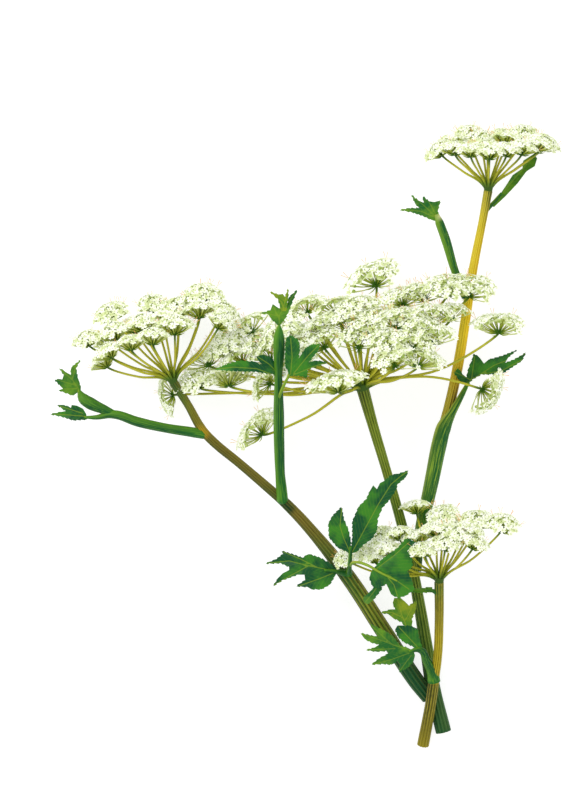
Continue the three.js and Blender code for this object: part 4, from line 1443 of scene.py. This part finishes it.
def strands(name, routes, bevel_resolution, resolution, skin):
    """Thin stalks as one curve with a spline each, given their thickness and made a mesh."""
    data = bpy.data.curves.new(name, "CURVE")
    data.dimensions = "3D"
    data.resolution_u = resolution
    data.bevel_depth = MM
    data.bevel_resolution = bevel_resolution
    data.use_fill_caps = True
    for route in routes:
        lay_line(data, route)
    thing = bpy.data.objects.new(name, data)
    bpy.context.scene.collection.objects.link(thing)
    make_active(thing)
    bpy.ops.object.convert(target="MESH")
    thing = bpy.context.object
    bpy.ops.object.mode_set(mode="EDIT")
    bpy.ops.mesh.select_all(action="SELECT")
    bpy.ops.mesh.remove_doubles(threshold=1e-6)
    bpy.ops.mesh.normals_make_consistent(inside=False)
    bpy.ops.object.mode_set(mode="OBJECT")
    thing.data.materials.append(skin)
    return thing


def set_reach(thing, value_at):
    """Stores 0 where the ray is dark green and 1 where it is yellow."""
    reach = thing.data.attributes.new("green_reach", "FLOAT", "POINT")
    reach.data.foreach_set("value", [value_at(v.co / MM) for v in thing.data.vertices])


def dome_spot(plan, share, way, draw):
    """A point of the umbellet's dome, a share of the way out from its axis."""
    reach = plan["radius"] * share * draw.uniform(0.92, 1.04)
    height = plan["depth"] * (1 - plan["drop"] * share**2) * draw.uniform(0.94, 1.05)
    return way * reach + Vector((0, 0, height))


def umbellet(habit, form):
    """Florets and their pedicels, with the tip of the ray at the origin and the head along +Z."""
    plan = HABITS[habit]
    draw = random.Random(10 * form + 3)
    florets = []
    routes = []

    def add_floret(kind, spot, way, share, size):
        facing = (way * plan["lean"] * share + Vector((0, 0, 1))).normalized()
        turned = facing.to_track_quat("Z", "Y").to_matrix().to_4x4()
        spin = Matrix.Rotation(draw.uniform(0, 2 * math.pi), 4, "Z")
        at = Matrix.Translation(spot * MM) @ turned @ spin @ Matrix.Scale(size, 4)
        florets.append(copy_at(kind, at))
        return facing

    # Open florets, larger towards the rim. Some of those on the far rim still have their stamens.
    for i in range(plan["florets"]):
        share = ((i + 0.6) / plan["florets"]) ** 0.46
        turn = i * GOLDEN_TURN + draw.uniform(-0.12, 0.12)
        way = Vector((math.cos(turn), math.sin(turn), 0))
        spot = dome_spot(plan, share, way, draw)
        size = plan["size"] * draw.uniform(0.88, 1.12) * (0.85 + 0.22 * share)
        stamens = share > 0.78 and way.y > 0.2 and draw.random() < 0.5
        if in_gap(plan, form, share, way):
            continue
        facing = add_floret(open_floret if stamens else plain_floret, spot, way, share, size)
        # The pedicel sags a little on its way, and widens into the green cup under the floret.
        under = spot - facing * 0.7 * size
        bend = under * 0.55 - Vector((0, 0, 0.06 * plan["radius"] * share))
        stalk = plan["stalk"]
        routes.append([
            (Vector((0, 0, 0)), stalk),
            (bend * MM, stalk * 0.9),
            (under * MM, stalk + 0.3),
            ((under + facing * 0.7) * MM, stalk),
        ])
    # Half-open florets and buds take turns, half a golden turn off the open ones.
    for i in range(plan["fillers"]):
        share = ((i + 0.6) / plan["fillers"]) ** 0.5 * 0.97
        turn = (i + 0.5) * GOLDEN_TURN + 1.3
        way = Vector((math.cos(turn), math.sin(turn), 0))
        spot = dome_spot(plan, share, way, draw) * draw.uniform(0.8, 0.9)
        if in_gap(plan, form, share, way):
            continue
        size = plan["size"] * draw.uniform(0.85, 1.1)
        add_floret(half_open_floret if i % 2 else bud, spot, way, share, size)
    # Narrow bracteoles hang out from the tip of the ray.
    for i in range(BRACTEOLES):
        turn = i * 2 * math.pi / BRACTEOLES + draw.uniform(-0.2, 0.2)
        way = Vector((math.cos(turn), math.sin(turn), 0))
        far = way * plan["radius"] * 0.5 + Vector((0, 0, plan["depth"] * 0.12))
        routes.append([
            (Vector((0, 0, 0)), 0.3),
            ((far * 0.5 - Vector((0, 0, 0.6))) * MM, 0.36),
            (far * MM, 0.08),
        ])
    stalks = strands(
        f"{habit}_stalks_{form}", routes, bevel_resolution=0, resolution=2, skin=PEDICEL_GREEN
    )
    set_reach(stalks, lambda p: clamp((p.length - GREEN_TIP[0]) / GREEN_TIP[1]))
    return join_pieces(florets, f"{habit}_florets_{form}"), stalks


umbellets = {habit: [umbellet(habit, form) for form in range(FORMS)] for habit in HABITS}
for habit, made in umbellets.items():
    print(habit, [len(florets.data.polygons) for florets, stalks in made], "faces of florets")

# %% [markdown]
# ## The umbels
# The stem widens into a dark green hub, and the rays leave it close together, part, bow, and turn
# up into their heads. The rays could be straight rods, but then they would cross in the hub, so
# each is a curve through five points. Copies of the umbellets sit on the tips. Each faces with its
# umbel, a little outwards and up, unless the umbel's list gives it a facing of its own.

# %% Umbels: lengths in millimetres
UP = Vector((0, 0, 1))
# The way to the painted light on the rays and pedicels.
RAY_PAINTED_LIGHT = (-0.45, 0.5, 0.75)
# The dark green of the hub is partly its own colour and partly painted shade where the rays crowd
# together.
GREEN_HUB = (3.5, 14.0)  # the same for the dark green of the hub
PRESSED = 3.0  # how high above the table a head begins to be pressed flat
SWAY_STEP, SWAY = 0.37, 0.4  # radians


def head_facing(umbel, tip):
    axis = Vector(umbel["axis"]).normalized()
    out = tip - Vector(umbel["hub"])
    out = (out - axis * out.dot(axis)).normalized()
    share = umbel["facing"]
    return (axis * share[0] + out * share[1] + UP * share[2]).normalized()


def turned_to(facing):
    """Turns +Z to the facing, with -Y on the side that the onlooker sees."""
    across = facing.cross(UP).normalized()
    return Matrix((across, facing.cross(across), facing)).transposed().to_4x4()


def ray_route(umbel, tip, facing, bow):
    """From inside the hub, out where the rays part, past the bow, and into the head from below."""
    axis = Vector(umbel["axis"]).normalized()
    hub = Vector(umbel["hub"])
    wide = umbel["hub_radius"]
    reach = tip - hub
    straight = reach.normalized()
    out = (reach - axis * reach.dot(axis)).normalized()
    parting = hub + axis * 1.6 + straight * wide * 0.7 + out * wide * 0.35
    middle = hub + reach * 0.55 - axis * bow * reach.length
    landing = (straight * 0.6 + facing * 0.4).normalized()
    thick = umbel["ray_radius"]
    return [
        (place(*(hub - axis * 2.5 + out * wide * 0.3)), thick * 1.2),
        (place(*parting), thick * 1.25),
        (place(*middle), thick),
        (place(*(tip - landing * 1.5)), thick * 0.95),
        (place(*(tip + facing * 0.8)), thick * 1.2),
    ]


def rest_on_table(piece):
    """Presses what would reach through the table softly flat on it."""
    soft = PRESSED * MM
    for vertex in piece.data.vertices:
        if vertex.co.z < soft:
            vertex.co.z = soft * math.exp((vertex.co.z - soft) / soft)


def hub_funnel(umbel):
    """The widened top of the stem, which the rays grow out of."""
    axis = Vector(umbel["axis"]).normalized()
    wide = umbel["hub_radius"]
    clear_selection()
    bpy.ops.mesh.primitive_uv_sphere_add(segments=24, ring_count=12, radius=wide * MM)
    funnel = bpy.context.object
    pick(funnel, "vertices", lambda v: v.co.z < 0.1 * MM)
    bpy.ops.transform.resize(value=(1, 1, 2.6))
    bpy.ops.object.mode_set(mode="OBJECT")
    turned = axis.to_track_quat("Z", "Y").to_matrix().to_4x4()
    middle = place(*(Vector(umbel["hub"]) + axis * wide * 0.3))
    funnel.data.transform(Matrix.Translation(middle) @ turned)
    funnel.data.materials.append(RAY_GREEN)
    set_reach(funnel, lambda p: 0.0)
    set_painted_light_side(funnel, RAY_PAINTED_LIGHT)
    return funnel


for umbel in UMBELS:
    routes = []
    blooms = []
    greens = [hub_funnel(umbel)]
    tips = []
    for i, (x, y, z, *own) in enumerate(umbel["heads"]):
        tip = Vector((x, y, z))
        facing = Vector(own[1]).normalized() if len(own) > 1 else head_facing(umbel, tip)
        bow = own[2] if len(own) > 2 else umbel["bow"]
        form = own[3] if len(own) > 3 else i % FORMS
        routes.append(ray_route(umbel, tip, facing, bow))
        tips.append(place(*tip) / MM)
        florets, stalks = umbellets[umbel["habit"]][form]
        size = (own[0] if own else umbel["radius"]) / HABITS[umbel["habit"]]["radius"]
        sway = Matrix.Rotation((i * SWAY_STEP) % (2 * SWAY) - SWAY, 4, "Z")
        at = Matrix.Translation(place(*tip)) @ turned_to(facing) @ sway @ Matrix.Scale(size, 4)
        blooms.append(copy_at(florets, at))
        greens.append(copy_at(stalks, at))
    rays = strands(
        umbel["name"] + "_rays", routes, bevel_resolution=2, resolution=8, skin=RAY_GREEN
    )
    hub = place(*umbel["hub"]) / MM
    tip_places = np.array([tuple(t) for t in tips])

    def ray_reach_at(p):
        from_hub = ((p - hub).length - GREEN_HUB[0]) / GREEN_HUB[1]
        to_tip = np.linalg.norm(tip_places - np.array(p), axis=1).min()
        return float(clamp(min(from_hub, (to_tip - GREEN_TIP[0]) / GREEN_TIP[1])))

    set_reach(rays, ray_reach_at)
    greens.append(rays)
    for green in greens[1:]:
        set_painted_light_side(green, RAY_PAINTED_LIGHT)
    bloom = join_pieces(blooms, umbel["name"] + "_florets")
    green = join_pieces(greens, umbel["name"] + "_rays")
    finish_smooth(green)
    for piece in (bloom, green):
        rest_on_table(piece)
        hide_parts(umbel["node"])
        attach(piece, "root")
        piece.data.calc_loop_triangles()
        print(piece.name, len(piece.data.loop_triangles), "triangles")

for made in umbellets.values():
    for pair in made:
        for thing in pair:
            bpy.data.objects.remove(thing)
for thing in FLORET_KINDS:
    bpy.data.objects.remove(thing)

# %% [markdown]
# ## The table
# The plant lies on a pale matt table, as on a copying stand. A white card under lamps would show
# their falloff, so the table glows as well, which keeps it evenly white and leaves the plant a
# faint shadow.

# %% Table
TABLE_GREY = (0.45, 0.45, 0.45, 1.0)
TABLE_GLOW = 0.74
clear_selection()
bpy.ops.mesh.primitive_plane_add(size=16)
table_top = bpy.context.object
table_top.name = "table_top"
TABLE_WHITE, _, table_shader = plant_finish("white table lacquer", roughness=0.9)
table_shader.inputs["Base Color"].default_value = TABLE_GREY
table_shader.inputs["Emission Color"].default_value = linear("#ffffff")
table_shader.inputs["Emission Strength"].default_value = TABLE_GLOW
table_top.data.materials.append(TABLE_WHITE)
print("table:", table_top.dimensions.x, "m wide")

# %% [markdown]
# ## The light
# Thin petals and fine rays need light from all round, or they turn to specks. A bright room gives
# that, a broad window from the upper left shapes the stems, and a weak reflector from the lower
# right keeps their shaded sides green.

# %% Light: sizes in metres, powers in watts
ROOM_STRENGTH = 0.76
world = bpy.data.worlds.new("soft room")
bpy.context.scene.world = world
world.use_nodes = True
room = world.node_tree.nodes["Background"]
room.inputs["Color"].default_value = linear("#ffffff")
room.inputs["Strength"].default_value = ROOM_STRENGTH


def soft_light(name, spot, size, power):
    """A round lamp that faces the plant and isn't seen itself."""
    data = bpy.data.lights.new(name, "AREA")
    data.shape = "DISK"
    data.size = size
    data.energy = power
    lamp = bpy.data.objects.new(name, data)
    lamp.location = spot
    lamp.rotation_mode = "QUATERNION"
    lamp.rotation_quaternion = (-Vector(spot)).to_track_quat("-Z", "Y")
    lamp.visible_camera = False
    bpy.context.scene.collection.objects.link(lamp)


soft_light("window", spot=(-1.1, 0.9, 1.5), size=1.2, power=14)
soft_light("reflector", spot=(1.3, -0.6, 1.2), size=1.2, power=4)
bpy.context.scene.view_settings.view_transform = "Standard"
print("lights set")

# %% [markdown]
# ## The camera
# The camera hangs over the table and looks straight down. A short lens would make the heads lean
# outwards at the edges of the picture, so a very long one is used from far above. Its height
# follows from the picture's height in pixels and the size of a pixel on the plant.

# %% Camera: lens and sensor in millimetres
PICTURE_HEIGHT = 791
MM_PER_PIXEL = 0.65
LENS = 400.0
SENSOR = 36.0
FARTHEST = 60.0  # metres
half_angle = math.atan(SENSOR / 2 / LENS)
distance = PICTURE_HEIGHT * MM_PER_PIXEL * MM / 2 / math.tan(half_angle)
aim_point = place(-10.08, 26.65, 40)
camera_data = bpy.data.cameras.new("copy stand camera")
camera_data.lens = LENS
camera_data.sensor_width = SENSOR
camera_data.clip_end = FARTHEST
camera = bpy.data.objects.new("copy stand camera", camera_data)
camera.location = aim_point + Vector((0, 0, distance))
bpy.context.scene.collection.objects.link(camera)
bpy.context.scene.camera = camera
print("camera", round(distance, 2), "m above the plant")

# %% [markdown]
# ## Sizes
# The finished plant must fill the same box as the frame.

# %% Sizes, and the end
bpy.context.view_layer.update()
